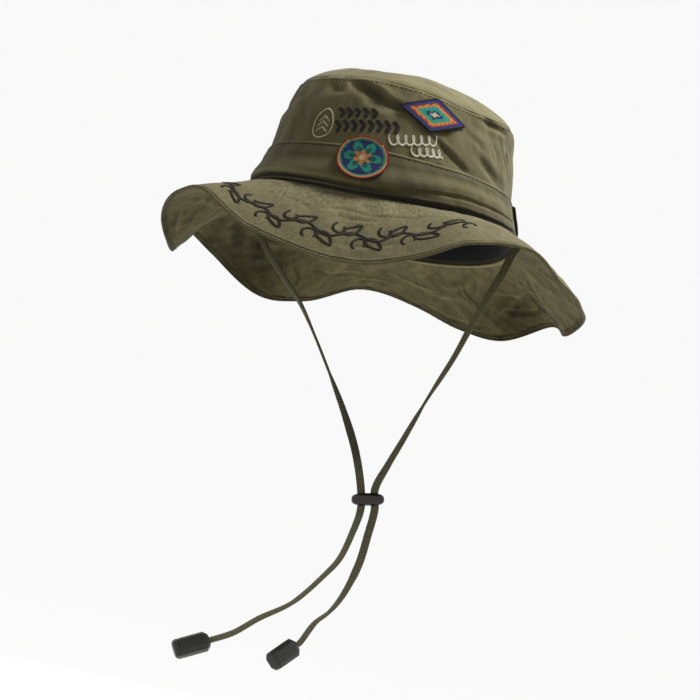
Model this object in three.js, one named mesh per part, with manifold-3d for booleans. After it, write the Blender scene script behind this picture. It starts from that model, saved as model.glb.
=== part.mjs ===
// Sun hat of cotton twill: a domed crown with a band, a wide wavy brim with a bound rim,
// a sweatband, sewn patches, vent eyelets, a webbing loop and a chin cord with a toggle.
// Millimetres, +Z up. The origin is the centre of the head opening, level with the seam
// between crown and brim. The front of the hat faces -Y and the wearer's left is +X.
import * as THREE from 'three';
import { mergeVertices } from 'three/addons/utils/BufferGeometryUtils.js';
import Module from 'manifold-3d';

const wasm = await Module();
wasm.setup();

// Head opening, inside the sweatband
const headHalfWidth = 83.5;
const headHalfLength = 100;

// Crown, from the seam at the brim up to the seam at the tip
const crownThickness = 1.5;
const crownSideHeight = 75;
const crownTaperSide = 18.5;
const crownTaperFront = 21;
const crownBarrel = 2.4;
const crownLean = -3.2;
const domeRise = 19.5;
const domePower = 3.1;
const dentDepth = 4;
const seamSag = 4;
const jointRise = 3;

// Band round the foot of the crown
const bandThickness = 1.3;
const bandHeight = 30;
const bandPuff = 3.2;

// Brim and its bound rim
const brimWidth = 65.5;
const brimThickness = 1.2;
const brimBend = 12;
const bindingWidth = 3.5;
const bindingThickness = 0.5;

// Sweatband inside the crown
const sweatbandThickness = 1.3;
const sweatbandHeight = 27;
const sweatbandLift = 1;
const sweatbandRoom = 0.45;

// Patches, lying flat on the crown
const patchThickness = 1.4;
const patchRoom = 0.5;
const roundPatchDiameter = 31;
const diamondPatchLength = 47.5;
const diamondPatchWidth = 25;

// Vent eyelets, two on each side
const eyeletDiameter = 8;
const eyeletBore = 3.2;
const eyeletThickness = 0.9;
const eyeletHeight = 49;

// Webbing loop on the wearer's left
const loopWidth = 16;
const loopHeight = 21;
const loopThickness = 1.2;
const loopBow = 3.6;

// Chin cord, its toggle and its ends
const cordWidth = 5.2;
const cordThickness = 1.8;
const toggleLength = 21;
const toggleDepth = 8.5;
const toggleHeight = 8;
const toggleTilt = 11;
const cordSpacing = 9;
const cordEndLength = 23.5;
const cordEndWidth = 12.5;
const cordEndDepth = 9;
const cordEndNeck = 7.5;

// Gap between pieces that touch, and the room that a cord has in the toggle
const pieceGap = 0.3;
const cordRoom = 0.5;

// Mesh density: sections once round the hat, rows above the band, and rows along each form
const sectionsRound = 54;
const crownRows = 4;
const domeRings = 5;
const brimRows = 7;

// Slope of the brim below the horizontal, in degrees, at turns round the hat. The turn is
// measured from the front toward the wearer's left. High slopes are dips, low ones crests.
const brimFolds = [
  { turn: 0, slope: 48.5 },
  { turn: 10, slope: 46.5 },
  { turn: 20, slope: 36.5 },
  { turn: 30, slope: 21.5 },
  { turn: 45, slope: 17.5 },
  { turn: 60, slope: 28.5 },
  { turn: 75, slope: 34 },
  { turn: 90, slope: 38 },
  { turn: 105, slope: 40.5 },
  { turn: 120, slope: 38.5 },
  { turn: 135, slope: 26.5 },
  { turn: 150, slope: 39 },
  { turn: 165, slope: 33 },
  { turn: 180, slope: 20 },
  { turn: 195, slope: 14 },
  { turn: 210, slope: 36 },
  { turn: 225, slope: 44 },
  { turn: 240, slope: 25 },
  { turn: 255, slope: 17 },
  { turn: 270, slope: 40.5 },
  { turn: 285, slope: 45 },
  { turn: 300, slope: 31.5 },
  { turn: 315, slope: 22 },
  { turn: 325, slope: 19 },
  { turn: 337, slope: 36 },
  { turn: 348, slope: 44 },
];

// Height of the seam between crown and brim as a share of jointRise, sag of the tip seam
// as a share of seamSag, and the band's height and puff as shares of bandHeight and bandPuff.
const ringFolds = [
  { turn: 0, rise: -0.7, sag: 0.0, band: 1.0, puff: 1.0 },
  { turn: 25, rise: -0.2, sag: 0.4, band: 0.93, puff: 1.0 },
  { turn: 48, rise: 0.7, sag: 1.0, band: 0.86, puff: 0.9 },
  { turn: 90, rise: 1.3, sag: 0.2, band: 0.76, puff: 0.15 },
  { turn: 150, rise: -0.3, sag: 0.3, band: 0.9, puff: 0.6 },
  { turn: 210, rise: -0.3, sag: 0.0, band: 0.95, puff: 0.8 },
  { turn: 270, rise: 0.9, sag: -0.3, band: 0.9, puff: 1.0 },
  { turn: 312, rise: 1.0, sag: -0.2, band: 0.87, puff: 1.0 },
  { turn: 338, rise: 0.0, sag: 0.0, band: 0.93, puff: 1.0 },
];

// Soft dents in the crown: place by turn and by share of the side's height, half spans,
// lean of the dent in degrees of turn over its height, depth as a share of dentDepth.
const crownDents = [
  { turn: 100, height: 0.24, turnSpan: 36, heightSpan: 0.44, lean: 0, depth: 1.5 },
  { turn: 63, height: 0.9, turnSpan: 15, heightSpan: 0.16, lean: 6, depth: 0.8 },
  { turn: -3, height: 0.84, turnSpan: 14, heightSpan: 0.16, lean: -18, depth: 0.4 },
  { turn: -30, height: 0.9, turnSpan: 14, heightSpan: 0.14, lean: 4, depth: 0.4 },
  { turn: 37, height: 0.46, turnSpan: 12, heightSpan: 0.16, lean: -14, depth: 0.4 },
  { turn: 62, height: 0.47, turnSpan: 11, heightSpan: 0.16, lean: -10, depth: 0.4 },
  { turn: 140, height: 0.7, turnSpan: 26, heightSpan: 0.3, lean: -12, depth: 0.7 },
  { turn: 205, height: 0.55, turnSpan: 24, heightSpan: 0.35, lean: 14, depth: 0.6 },
  { turn: 250, height: 0.8, turnSpan: 22, heightSpan: 0.24, lean: -10, depth: 0.4 },
];

// Points that the two halves of the chin cord hang through, from the seam at each ear to
// the toggle (drop) and from the toggle to the cord end (tail), as { x, y, z }.
const cordRoutes = {
  right: {
    drop: [[-80, 0, -20], [-59, 1, -45], [-45, 1, -59], [-30, 1, -79.5], [-14.5, 1, -103],
      [-0.5, 0, -125], [11.5, 0, -147.5]],
    tail: [[20, 0, -199], [15.5, 0, -216], [9, -1, -227], [-8, -2, -249],
      [-27, -2, -263], [-41, -2, -275]],
  },
  left: {
    drop: [[80.5, 0, -18], [73.5, 0, -37.5], [67.5, 1, -55], [61, 1, -76],
      [49, 1, -107], [39, 0, -136.5], [33.5, 0, -152]],
    tail: [[30, 1, -198], [28, 2, -217], [21.5, 4, -238.5], [15, 5.5, -250], [7.5, 6, -258.5]],
  },
};

// Where the front and back vent eyelets stand on each side
const eyeletTurns = { left_front: 78, left_back: 102, right_front: 282, right_back: 258 };

// Centre of each patch on the crown, and the turn of the long axis in the cloth
const roundPatchPlace = { turn: -2, height: 23, tilt: 0 };
const diamondPatchPlace = { turn: 26.5, height: 59, tilt: -5 };

// Share of bandPuff by which each level of the band stands off the crown
const bandProfile = [
  { level: 0, puff: 0.1 },
  { level: 0.16, puff: 0.75 },
  { level: 0.36, puff: 1 },
  { level: 0.58, puff: 0.25 },
  { level: 1, puff: 0 },
];

const { degToRad, euclideanModulo, lerp } = THREE.MathUtils;
const gapAcross = sweatbandRoom + crownThickness + sweatbandThickness;
const ringHalfWidth = headHalfWidth + gapAcross;
const ringHalfLength = headHalfLength + gapAcross;

// Smooth value of a table's column at any turn; the rows go once round the hat.
function around(table, column, turn) {
  const count = table.length;
  const row = (index) => {
    const lap = Math.floor(index / count);
    const entry = table[index - lap * count];
    return { at: entry.turn + 360 * lap, value: entry[column] };
  };
  const wrapped = euclideanModulo(turn, 360);
  let index = 0;
  while (row(index + 1).at <= wrapped) index += 1;
  const [before, start, end, after] = [-1, 0, 1, 2].map((step) => row(index + step));
  const span = end.at - start.at;
  const share = (wrapped - start.at) / span;
  const leaving = ((end.value - before.value) / (end.at - before.at)) * span;
  const arriving = ((after.value - start.value) / (after.at - start.at)) * span;
  const square = share * share;
  const cube = square * share;
  return (2 * cube - 3 * square + 1) * start.value + (cube - 2 * square + share) * leaving
    + (3 * square - 2 * cube) * end.value + (cube - square) * arriving;
}

// Straight-line value of the band's puff at a level between its rows
function puffAt(level) {
  const last = bandProfile.length - 1;
  const index = Math.max(1, bandProfile.findIndex((row) => row.level >= level));
  if (level >= bandProfile[last].level) return bandProfile[last].puff;
  const [low, high] = [bandProfile[index - 1], bandProfile[index]];
  return lerp(low.puff, high.puff, (level - low.level) / (high.level - low.level));
}

// Value between 1 in the middle of a span and 0 at its ends
function window(offset, span) {
  return Math.cos((Math.PI / 2) * Math.min(1, Math.abs(offset) / span)) ** 2;
}

function dentAt(turn, share) {
  let depth = 0;
  for (const dent of crownDents) {
    const rise = (share - dent.height) / dent.heightSpan;
    const offset = euclideanModulo(turn - dent.turn - dent.lean * rise + 180, 360) - 180;
    depth += dentDepth * dent.depth * window(offset, dent.turnSpan) * window(rise, 1);
  }
  return depth;
}

const jointHeight = (turn) => jointRise * around(ringFolds, 'rise', turn);
const tipSeamHeight = (turn) => crownSideHeight - seamSag * around(ringFolds, 'sag', turn);
const bandTop = (turn) => bandHeight * around(ringFolds, 'band', turn);

// Share of the crown's side at a height above the joint
const shareAt = (turn, height) => height / (tipSeamHeight(turn) - jointHeight(turn));

// Distance of the band's inner face from the crown, at a level of the band
const bandStandoff = (turn, level) => pieceGap + bandPuff * puffAt(level) * around(ringFolds, 'puff', turn);

// Outward direction of the head ring, level, at a turn
function ringNormal(turn) {
  const angle = degToRad(turn);
  const normal = new THREE.Vector3(ringHalfLength * Math.sin(angle), -ringHalfWidth * Math.cos(angle), 0);
  return normal.normalize();
}

// Point on the outer face of the crown's side; share 0 is the joint and 1 the tip seam.
function crownPoint(turn, share) {
  const angle = degToRad(turn);
  const up = Math.max(share, 0);
  const barrel = crownBarrel * Math.sin(Math.PI * Math.min(up, 1) ** 1.4);
  const halfWidth = ringHalfWidth - crownTaperSide * up + barrel;
  const halfLength = ringHalfLength - crownTaperFront * up + barrel;
  const point = new THREE.Vector3(
    crownLean * up + halfWidth * Math.sin(angle),
    -halfLength * Math.cos(angle),
    lerp(jointHeight(turn), tipSeamHeight(turn), share),
  );
  return point.addScaledVector(ringNormal(turn), -dentAt(turn, up));
}

// Point on the outer face of the tip; share 0 is the tip seam and 1 the top of the dome.
function domePoint(turn, share) {
  const edge = crownPoint(turn, 1);
  const reach = 1 - share;
  const rise = domeRise * (1 - reach ** domePower);
  return new THREE.Vector3(
    crownLean + (edge.x - crownLean) * reach,
    edge.y * reach,
    lerp(crownSideHeight, edge.z, reach * reach) + rise,
  );
}

// Point on the top face of the brim; share 0 is the joint and 1 the rim.
function brimPoint(turn, share) {
  const slope = around(brimFolds, 'slope', turn);
  const start = degToRad(slope - brimBend);
  const swing = degToRad(2 * brimBend * share);
  const half = swing / 2;
  const chord = brimWidth * share * (half === 0 ? 1 : Math.sin(half) / half);
  const joint = crownPoint(turn, 0);
  const point = joint.addScaledVector(ringNormal(turn), pieceGap + chord * Math.cos(start + half));
  point.z -= chord * Math.sin(start + half);
  return point;
}

// Outward unit normal of a surface given by a function of turn and share
function normalOf(surface, turn, share) {
  const [turnStep, shareStep] = [0.5, 0.005];
  const along = surface(turn + turnStep, share).sub(surface(turn - turnStep, share));
  const up = surface(turn, share + shareStep).sub(surface(turn, share - shareStep));
  return along.cross(up).normalize();
}

// Point off a surface by a distance, positive to its outer side
function offset(surface, turn, share, distance) {
  return surface(turn, share).addScaledVector(normalOf(surface, turn, share), distance);
}

const crownOffset = (turn, share, distance) => offset(crownPoint, turn, share, distance);
const brimOffset = (turn, share, distance) => offset(brimPoint, turn, share, -distance);

// Mitred offset at the tip seam, so that side and tip meet along one cut
function seamOffset(point, turn, distance) {
  const side = normalOf(crownPoint, turn, 0.99);
  const tip = normalOf(domePoint, turn, 0.01);
  const scale = distance / (1 + side.dot(tip));
  return point.clone().addScaledVector(side.add(tip), scale);
}

// Closed mesh from corner points and faces, turned so that its faces point out
function solid(points, faces) {
  const geometry = new THREE.BufferGeometry().setFromPoints(points);
  let volume = 0;
  for (const [a, b, c] of faces) {
    volume += points[a].dot(points[b].clone().cross(points[c]));
  }
  const outward = volume > 0 ? faces : faces.map(([a, b, c]) => [a, c, b]);
  geometry.setIndex(outward.flat());
  return geometry;
}

// Two triangles between four corners, cut along the shorter diagonal
function quad(points, a, b, c, d) {
  const straight = points[a].distanceTo(points[c]) <= points[b].distanceTo(points[d]);
  return straight ? [[a, b, c], [a, c, d]] : [[a, b, d], [b, c, d]];
}

// Ring-shaped solid from one closed outline for each section round the hat. The outline's
// first half is its outer face and its second half comes back along the inner face, and both
// are cut along the same diagonals, so that solids that lie on each other keep their gap.
function ringSolid(outlineAt, sections = sectionsRound) {
  const outlines = [];
  for (let section = 0; section < sections; section += 1) {
    outlines.push(outlineAt((360 * section) / sections));
  }
  const size = outlines[0].length;
  const points = outlines.flat();
  const faces = [];
  for (let section = 0; section < sections; section += 1) {
    const here = section * size;
    const next = ((section + 1) % sections) * size;
    for (let corner = 0; corner < size; corner += 1) {
      const up = (corner + 1) % size;
      const [a, b, c, d] = [here + corner, next + corner, next + up, here + up];
      if (corner < size / 2) faces.push([a, b, c], [a, c, d]);
      else faces.push([a, b, d], [b, c, d]);
    }
  }
  return solid(points, faces);
}

// Plate between an outer and an inner grid of points with the same rows and columns
function plateSolid(outer, inner) {
  const rows = outer.length;
  const columns = outer[0].length;
  const points = [...outer.flat(), ...inner.flat()];
  const outside = (row, column) => row * columns + column;
  const inside = (row, column) => rows * columns + outside(row, column);
  const faces = [];
  for (let row = 1; row < rows; row += 1) {
    for (let column = 1; column < columns; column += 1) {
      const corners = [[row - 1, column - 1], [row - 1, column], [row, column], [row, column - 1]];
      faces.push(...quad(points, ...corners.map((place) => outside(...place))));
      faces.push(...quad(points, ...corners.reverse().map((place) => inside(...place))));
    }
  }
  const border = [];
  for (let column = 0; column < columns - 1; column += 1) border.push([0, column]);
  for (let row = 0; row < rows - 1; row += 1) border.push([row, columns - 1]);
  for (let column = columns - 1; column > 0; column -= 1) border.push([rows - 1, column]);
  for (let row = rows - 1; row > 0; row -= 1) border.push([row, 0]);
  border.forEach((place, index) => {
    const next = border[(index + 1) % border.length];
    faces.push(...quad(points, outside(...next), outside(...place), inside(...place), inside(...next)));
  });
  return solid(points, faces);
}

function cloth(name, geometry, colour) {
  const material = new THREE.MeshStandardMaterial({ color: colour, roughness: 0.92, metalness: 0 });
  const mesh = new THREE.Mesh(geometry, material);
  mesh.name = name;
  return mesh;
}

function plastic(name, geometry, roughness) {
  const material = new THREE.MeshStandardMaterial({ color: 0x141414, roughness, metalness: 0 });
  const mesh = new THREE.Mesh(geometry, material);
  mesh.name = name;
  return mesh;
}

const twillColour = 0x6f6b50;
const bandColour = 0x6a664c;
const bindingColour = 0x55523c;
const sweatbandColour = 0x17161a;
const loopColour = 0x121213;
const cordColour = 0x4c4a39;
const roundPatchColour = 0x23365c;
const diamondPatchColour = 0x2a3a63;

// Boolean cut, with the vertices that faces share merged first
function manifoldOf(geometry) {
  const bare = geometry.clone();
  bare.deleteAttribute('normal');
  bare.deleteAttribute('uv');
  const merged = mergeVertices(bare, 1e-4);
  const vertProperties = new Float32Array(merged.attributes.position.array);
  const triVerts = new Uint32Array(merged.index.array);
  return new wasm.Manifold(new wasm.Mesh({ numProp: 3, vertProperties, triVerts }));
}

function cut(geometry, cutters) {
  let body = manifoldOf(geometry);
  for (const cutter of cutters) body = body.subtract(manifoldOf(cutter));
  const { vertProperties, triVerts } = body.getMesh();
  const result = new THREE.BufferGeometry();
  result.setAttribute('position', new THREE.BufferAttribute(new Float32Array(vertProperties), 3));
  result.setIndex(new THREE.BufferAttribute(new Uint32Array(triVerts), 1));
  return result;
}

// Turn and place a geometry made along +Y so that +Y follows the crown's normal
function standOnCrown(geometry, turn, share) {
  const normal = normalOf(crownPoint, turn, share);
  const spin = new THREE.Quaternion().setFromUnitVectors(new THREE.Vector3(0, 1, 0), normal);
  const place = crownPoint(turn, share);
  return geometry.applyQuaternion(spin).translate(place.x, place.y, place.z);
}

// Shares of the crown's side at which the band has its rows
const bandShares = (turn) => bandProfile.map(({ level }) => shareAt(turn, lerp(pieceGap, bandTop(turn), level)));

// The side stops a gap short of the tip seam.
const lip = 1 - pieceGap / crownSideHeight;

// Shares of all rows of the crown's side: the band's own, then even ones up to the lip
function wallShares(turn) {
  const lower = bandShares(turn);
  const above = lower[lower.length - 1];
  const upper = Array.from({ length: crownRows }, (_, row) => lerp(above, lip, (row + 1) / crownRows));
  return [...lower, ...upper];
}

// Point off the flat facets of the crown's side, for a piece that lies on them
function facetPoint(turn, share, distance) {
  const section = (turn * sectionsRound) / 360;
  const [start, end] = [Math.floor(section), Math.floor(section) + 1].map((index) => {
    const at = (360 * index) / sectionsRound;
    const rows = wallShares(at);
    const next = rows.findIndex((row) => row >= share);
    const high = next === -1 ? rows.length - 1 : Math.max(1, next);
    const along = (share - rows[high - 1]) / (rows[high] - rows[high - 1]);
    return crownOffset(at, rows[high - 1], distance).lerp(crownOffset(at, rows[high], distance), along);
  });
  return start.lerp(end, section - Math.floor(section));
}

function crownWall() {
  const foot = -brimThickness / crownSideHeight;
  const body = ringSolid((turn) => {
    const middle = wallShares(turn).slice(0, -1);
    const base = crownPoint(turn, foot);
    const top = crownPoint(turn, lip);
    return [
      base,
      ...middle.map((share) => crownPoint(turn, share)),
      top,
      seamOffset(top, turn, -crownThickness),
      ...middle.map((share) => crownOffset(turn, share, -crownThickness)).reverse(),
      base.clone().addScaledVector(ringNormal(turn), -crownThickness),
    ];
  });
  const drills = Object.values(eyeletTurns).map((turn) => {
    const drill = new THREE.CylinderGeometry(eyeletBore / 2, eyeletBore / 2, 6 * crownThickness, 10);
    return standOnCrown(drill, turn, shareAt(turn, eyeletHeight));
  });
  return cloth('crown_wall', cut(body, drills), twillColour);
}

function crownTip() {
  const rings = [];
  for (let ring = 0; ring < domeRings; ring += 1) rings.push((ring / domeRings) ** 1.3);
  const sections = [];
  for (let section = 0; section < sectionsRound; section += 1) {
    const turn = (360 * section) / sectionsRound;
    const outer = rings.map((share) => domePoint(turn, share));
    const inner = rings.map((share, ring) => (ring === 0
      ? seamOffset(outer[0], turn, -crownThickness)
      : offset(domePoint, turn, share, -crownThickness)));
    sections.push([...outer.reverse(), ...inner]);
  }
  const size = 2 * domeRings;
  const points = sections.flat();
  const top = points.push(domePoint(0, 1)) - 1;
  const under = points.push(domePoint(0, 1).add(new THREE.Vector3(0, 0, -crownThickness))) - 1;
  const faces = [];
  for (let section = 0; section < sectionsRound; section += 1) {
    const here = section * size;
    const next = ((section + 1) % sectionsRound) * size;
    faces.push([top, here, next]);
    for (let corner = 0; corner < size - 1; corner += 1) {
      faces.push(...quad(points, here + corner, here + corner + 1, next + corner + 1, next + corner));
    }
    faces.push([under, next + size - 1, here + size - 1]);
  }
  return cloth('crown_tip', solid(points, faces), twillColour);
}

function crownBand() {
  return cloth('crown_band', ringSolid((turn) => {
    const outer = [];
    const inner = [];
    bandShares(turn).forEach((share, row) => {
      const standoff = bandStandoff(turn, bandProfile[row].level);
      outer.push(crownOffset(turn, share, standoff + bandThickness));
      inner.push(crownOffset(turn, share, standoff));
    });
    return [...outer, ...inner.reverse()];
  }), bandColour);
}

// Distance from the crown at which something lies on crown or band, bridging steps
function coverAt(turn, height) {
  const bridge = 4;
  let cover = 0;
  for (const step of [-1, -0.5, 0, 0.5, 1]) {
    const level = (height + bridge * step - pieceGap) / (bandTop(turn) - pieceGap);
    if (level <= 1) cover = Math.max(cover, bandStandoff(turn, Math.max(0, level)) + bandThickness);
  }
  return cover;
}

// Share of the brim's width at which its binding starts; the brim has a row there too.
const bindingStart = 1 - bindingWidth / brimWidth;

function brim() {
  const edge = 1 - (bindingThickness + pieceGap) / brimWidth;
  return cloth('brim', ringSolid((turn) => {
    const top = [];
    const under = [];
    for (let row = 0; row <= brimRows; row += 1) {
      const share = row === brimRows ? edge : (bindingStart * row) / (brimRows - 1);
      const point = brimPoint(turn, share);
      top.push(point);
      if (row === 0) under.push(point.clone().add(new THREE.Vector3(0, 0, -brimThickness)));
      else under.push(brimOffset(turn, share, -brimThickness));
    }
    return [...top, ...under.reverse()];
  }), twillColour);
}

function brimBinding() {
  const inside = 1 - bindingThickness / brimWidth;
  const [near, far] = [pieceGap, pieceGap + bindingThickness];
  return cloth('brim_binding', ringSolid((turn) => [
    brimOffset(turn, bindingStart, far),
    brimOffset(turn, inside, far),
    brimOffset(turn, 1, near),
    brimOffset(turn, 1, -brimThickness - near),
    brimOffset(turn, inside, -brimThickness - far),
    brimOffset(turn, bindingStart, -brimThickness - far),
    brimOffset(turn, bindingStart, -brimThickness - near),
    brimOffset(turn, inside, -brimThickness - near),
    brimOffset(turn, inside, near),
    brimOffset(turn, bindingStart, near),
  ]), bindingColour);
}

// Its rows between its two edges are the crown's own, so that the two lie evenly together.
function sweatband() {
  return cloth('sweatband', ringSolid((turn) => {
    const foot = shareAt(turn, sweatbandLift);
    const top = shareAt(turn, sweatbandLift + sweatbandHeight);
    const rows = bandShares(turn).slice(1);
    const highest = Math.min(rows.pop(), (rows[rows.length - 1] + top) / 2);
    const shares = [foot, ...rows, highest, top];
    const outer = shares.map((share) => facetPoint(turn, share, -crownThickness - sweatbandRoom));
    const inner = shares.map((share) => (
      facetPoint(turn, share, -crownThickness - sweatbandRoom - sweatbandThickness)));
    return [...outer, ...inner.reverse()];
  }), sweatbandColour);
}

// Turn and height of a point given in millimetres along and up the cloth from a place
function clothPlace(place, along, up) {
  const angle = degToRad(place.tilt);
  const level = along * Math.cos(angle) - up * Math.sin(angle);
  const rise = along * Math.sin(angle) + up * Math.cos(angle);
  const share = shareAt(place.turn, place.height);
  const oneDegree = crownPoint(place.turn + 0.5, share).distanceTo(crownPoint(place.turn - 0.5, share));
  const oneShare = crownPoint(place.turn, share + 0.05).distanceTo(crownPoint(place.turn, share - 0.05));
  const heightPerLength = (tipSeamHeight(place.turn) - jointHeight(place.turn)) * 0.1 / oneShare;
  return { turn: place.turn + level / oneDegree, height: place.height + rise * heightPerLength };
}

// Sewn patch: an outline in millimetres filled with rings about its centre
function patch(name, place, outline, colour) {
  const rings = 3;
  const lift = (along, up, distance) => {
    const { turn, height } = clothPlace(place, along, up);
    const cover = coverAt(turn, height) + patchRoom;
    return facetPoint(turn, shareAt(turn, height), cover + distance);
  };
  const count = outline.length;
  const points = [lift(0, 0, patchThickness), lift(0, 0, 0)];
  for (const distance of [patchThickness, 0]) {
    for (let ring = 1; ring <= rings; ring += 1) {
      for (const [along, up] of outline) {
        points.push(lift((along * ring) / rings, (up * ring) / rings, distance));
      }
    }
  }
  const at = (face, ring, corner) => 2 + (face * rings + ring) * count + (corner % count);
  const faces = [];
  for (let corner = 0; corner < count; corner += 1) {
    faces.push([0, at(0, 0, corner), at(0, 0, corner + 1)]);
    faces.push([1, at(1, 0, corner + 1), at(1, 0, corner)]);
    for (let ring = 1; ring < rings; ring += 1) {
      const [low, high] = [ring - 1, ring];
      faces.push(...quad(points, at(0, low, corner), at(0, high, corner),
        at(0, high, corner + 1), at(0, low, corner + 1)));
      faces.push(...quad(points, at(1, low, corner), at(1, low, corner + 1),
        at(1, high, corner + 1), at(1, high, corner)));
    }
    faces.push(...quad(points, at(0, rings - 1, corner), at(1, rings - 1, corner),
      at(1, rings - 1, corner + 1), at(0, rings - 1, corner + 1)));
  }
  return cloth(name, solid(points, faces), colour);
}

function circleOutline(diameter, corners) {
  return Array.from({ length: corners }, (_, corner) => {
    const angle = (2 * Math.PI * corner) / corners;
    return [(diameter / 2) * Math.cos(angle), (diameter / 2) * Math.sin(angle)];
  });
}

function diamondOutline(length, width, steps) {
  const tips = [[length / 2, 0], [0, width / 2], [-length / 2, 0], [0, -width / 2]];
  return tips.flatMap(([x, y], side) => {
    const [nextX, nextY] = tips[(side + 1) % tips.length];
    return Array.from({ length: steps }, (_, step) => [
      lerp(x, nextX, step / steps), lerp(y, nextY, step / steps)]);
  });
}

// Worked ring round a vent hole, thinner toward its edge
function eyelet(side, turn) {
  const [bore, rim] = [eyeletBore / 2, eyeletDiameter / 2];
  const place = { turn, height: eyeletHeight, tilt: 0 };
  const profile = [
    { radius: rim, thickness: eyeletThickness / 2 },
    { radius: lerp(bore, rim, 0.6), thickness: eyeletThickness },
    { radius: bore, thickness: eyeletThickness },
    { radius: bore, thickness: 0 },
    { radius: rim, thickness: 0 },
  ];
  const ring = ringSolid((angle) => profile.map(({ radius, thickness }) => {
    const spot = clothPlace(place, radius * Math.cos(degToRad(angle)), radius * Math.sin(degToRad(angle)));
    return facetPoint(spot.turn, shareAt(spot.turn, spot.height), pieceGap + thickness);
  }), 10);
  return cloth(`eyelet_${side}`, ring, bandColour);
}

// Webbing strip whose two ends lie on the band and whose middle bows off it
function sideLoop() {
  const [rows, columns] = [8, 4];
  const place = { turn: 102, height: 5 + loopHeight / 2, tilt: 0 };
  const outer = [];
  const inner = [];
  for (let row = 0; row <= rows; row += 1) {
    const up = loopHeight * (row / rows - 0.5);
    const bow = loopBow * Math.sin((Math.PI * row) / rows) ** 0.7;
    const lines = [[], []];
    for (let column = 0; column <= columns; column += 1) {
      const along = loopWidth * (column / columns - 0.5);
      const { turn, height } = clothPlace(place, along, up);
      const rest = coverAt(turn, height) + pieceGap + bow;
      lines[0].push(facetPoint(turn, shareAt(turn, height), rest + loopThickness));
      lines[1].push(facetPoint(turn, shareAt(turn, height), rest));
    }
    outer.push(lines[0]);
    inner.push(lines[1]);
  }
  return cloth('side_loop', plateSolid(outer, inner), loopColour);
}

// Frame of the toggle: its centre, its long axis and the way that the cords run through it
const togglePlace = new THREE.Vector3(25.5, 0, -175.5);
const toggleAcross = new THREE.Vector3(Math.cos(degToRad(toggleTilt)), 0, Math.sin(degToRad(toggleTilt)));
const toggleDown = new THREE.Vector3(Math.sin(degToRad(toggleTilt)), 0, -Math.cos(degToRad(toggleTilt)));

function toggle() {
  const bevel = 2.8;
  const outline = new THREE.Shape();
  outline.absellipse(0, 0, toggleLength / 2 - bevel, toggleDepth / 2 - bevel, 0, 2 * Math.PI);
  const body = new THREE.ExtrudeGeometry(outline, {
    depth: toggleHeight - 2 * bevel,
    bevelThickness: bevel,
    bevelSize: bevel,
    bevelSegments: 2,
    curveSegments: 10,
  }).translate(0, 0, bevel - toggleHeight / 2);
  const slots = [-1, 1].map((side) => new THREE.BoxGeometry(
    cordWidth + 2 * cordRoom,
    cordThickness + 2 * cordRoom,
    2 * toggleHeight,
  ).translate((side * cordSpacing) / 2, 0, 0));
  const mesh = plastic('toggle', cut(body, slots), 0.25);
  mesh.rotation.y = -degToRad(toggleTilt);
  mesh.position.copy(togglePlace);
  return mesh;
}

// One half of the chin cord, sewn under the brim at the joint and running through the toggle
function cord(side, turn, across, route, end) {
  const rootShare = 0.05;
  const under = brimOffset(turn, rootShare, -brimThickness - 2 * pieceGap);
  const inward = normalOf(brimPoint, turn, rootShare);
  const through = [-0.8, 0.8].map((share) => togglePlace.clone()
    .addScaledVector(toggleAcross, across)
    .addScaledVector(toggleDown, share * toggleHeight));
  const chosen = (points) => points.map((point) => new THREE.Vector3(...point));
  const path = new THREE.CatmullRomCurve3([
    under,
    under.clone().addScaledVector(inward, cordWidth),
    ...chosen(route.drop),
    ...through,
    ...chosen(route.tail),
    end.neck.clone().addScaledVector(end.axis, -cordWidth),
    end.neck.clone().addScaledVector(end.axis, -pieceGap),
  ], false, 'centripetal');
  const section = new THREE.Shape();
  const [half, thick, edge] = [cordWidth / 2, cordThickness / 2, cordThickness / 4];
  section.moveTo(-edge, -half);
  section.lineTo(edge, -half);
  section.lineTo(thick, -half + edge);
  section.lineTo(thick, half - edge);
  section.lineTo(edge, half);
  section.lineTo(-edge, half);
  section.lineTo(-thick, half - edge);
  section.lineTo(-thick, -half + edge);
  const steps = Math.round(path.getLength() / (2.4 * cordWidth));
  const tube = new THREE.ExtrudeGeometry(section, { steps, extrudePath: path });
  return cloth(`cord_${side}`, tube, cordColour);
}

// Where each cord end lies: the middle of the face that the cord enters, its direction, and
// how far it is rolled about that direction, in degrees
const cordEnds = {
  right: {
    neck: new THREE.Vector3(-55.5, -2, -283),
    axis: new THREE.Vector3(-19.3, -8.3, -10.6).normalize(),
    roll: 20,
  },
  left: {
    neck: new THREE.Vector3(-1, 0, -275.5),
    axis: new THREE.Vector3(-8.7, -17.8, -12.6).normalize(),
    roll: -15,
  },
};

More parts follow.
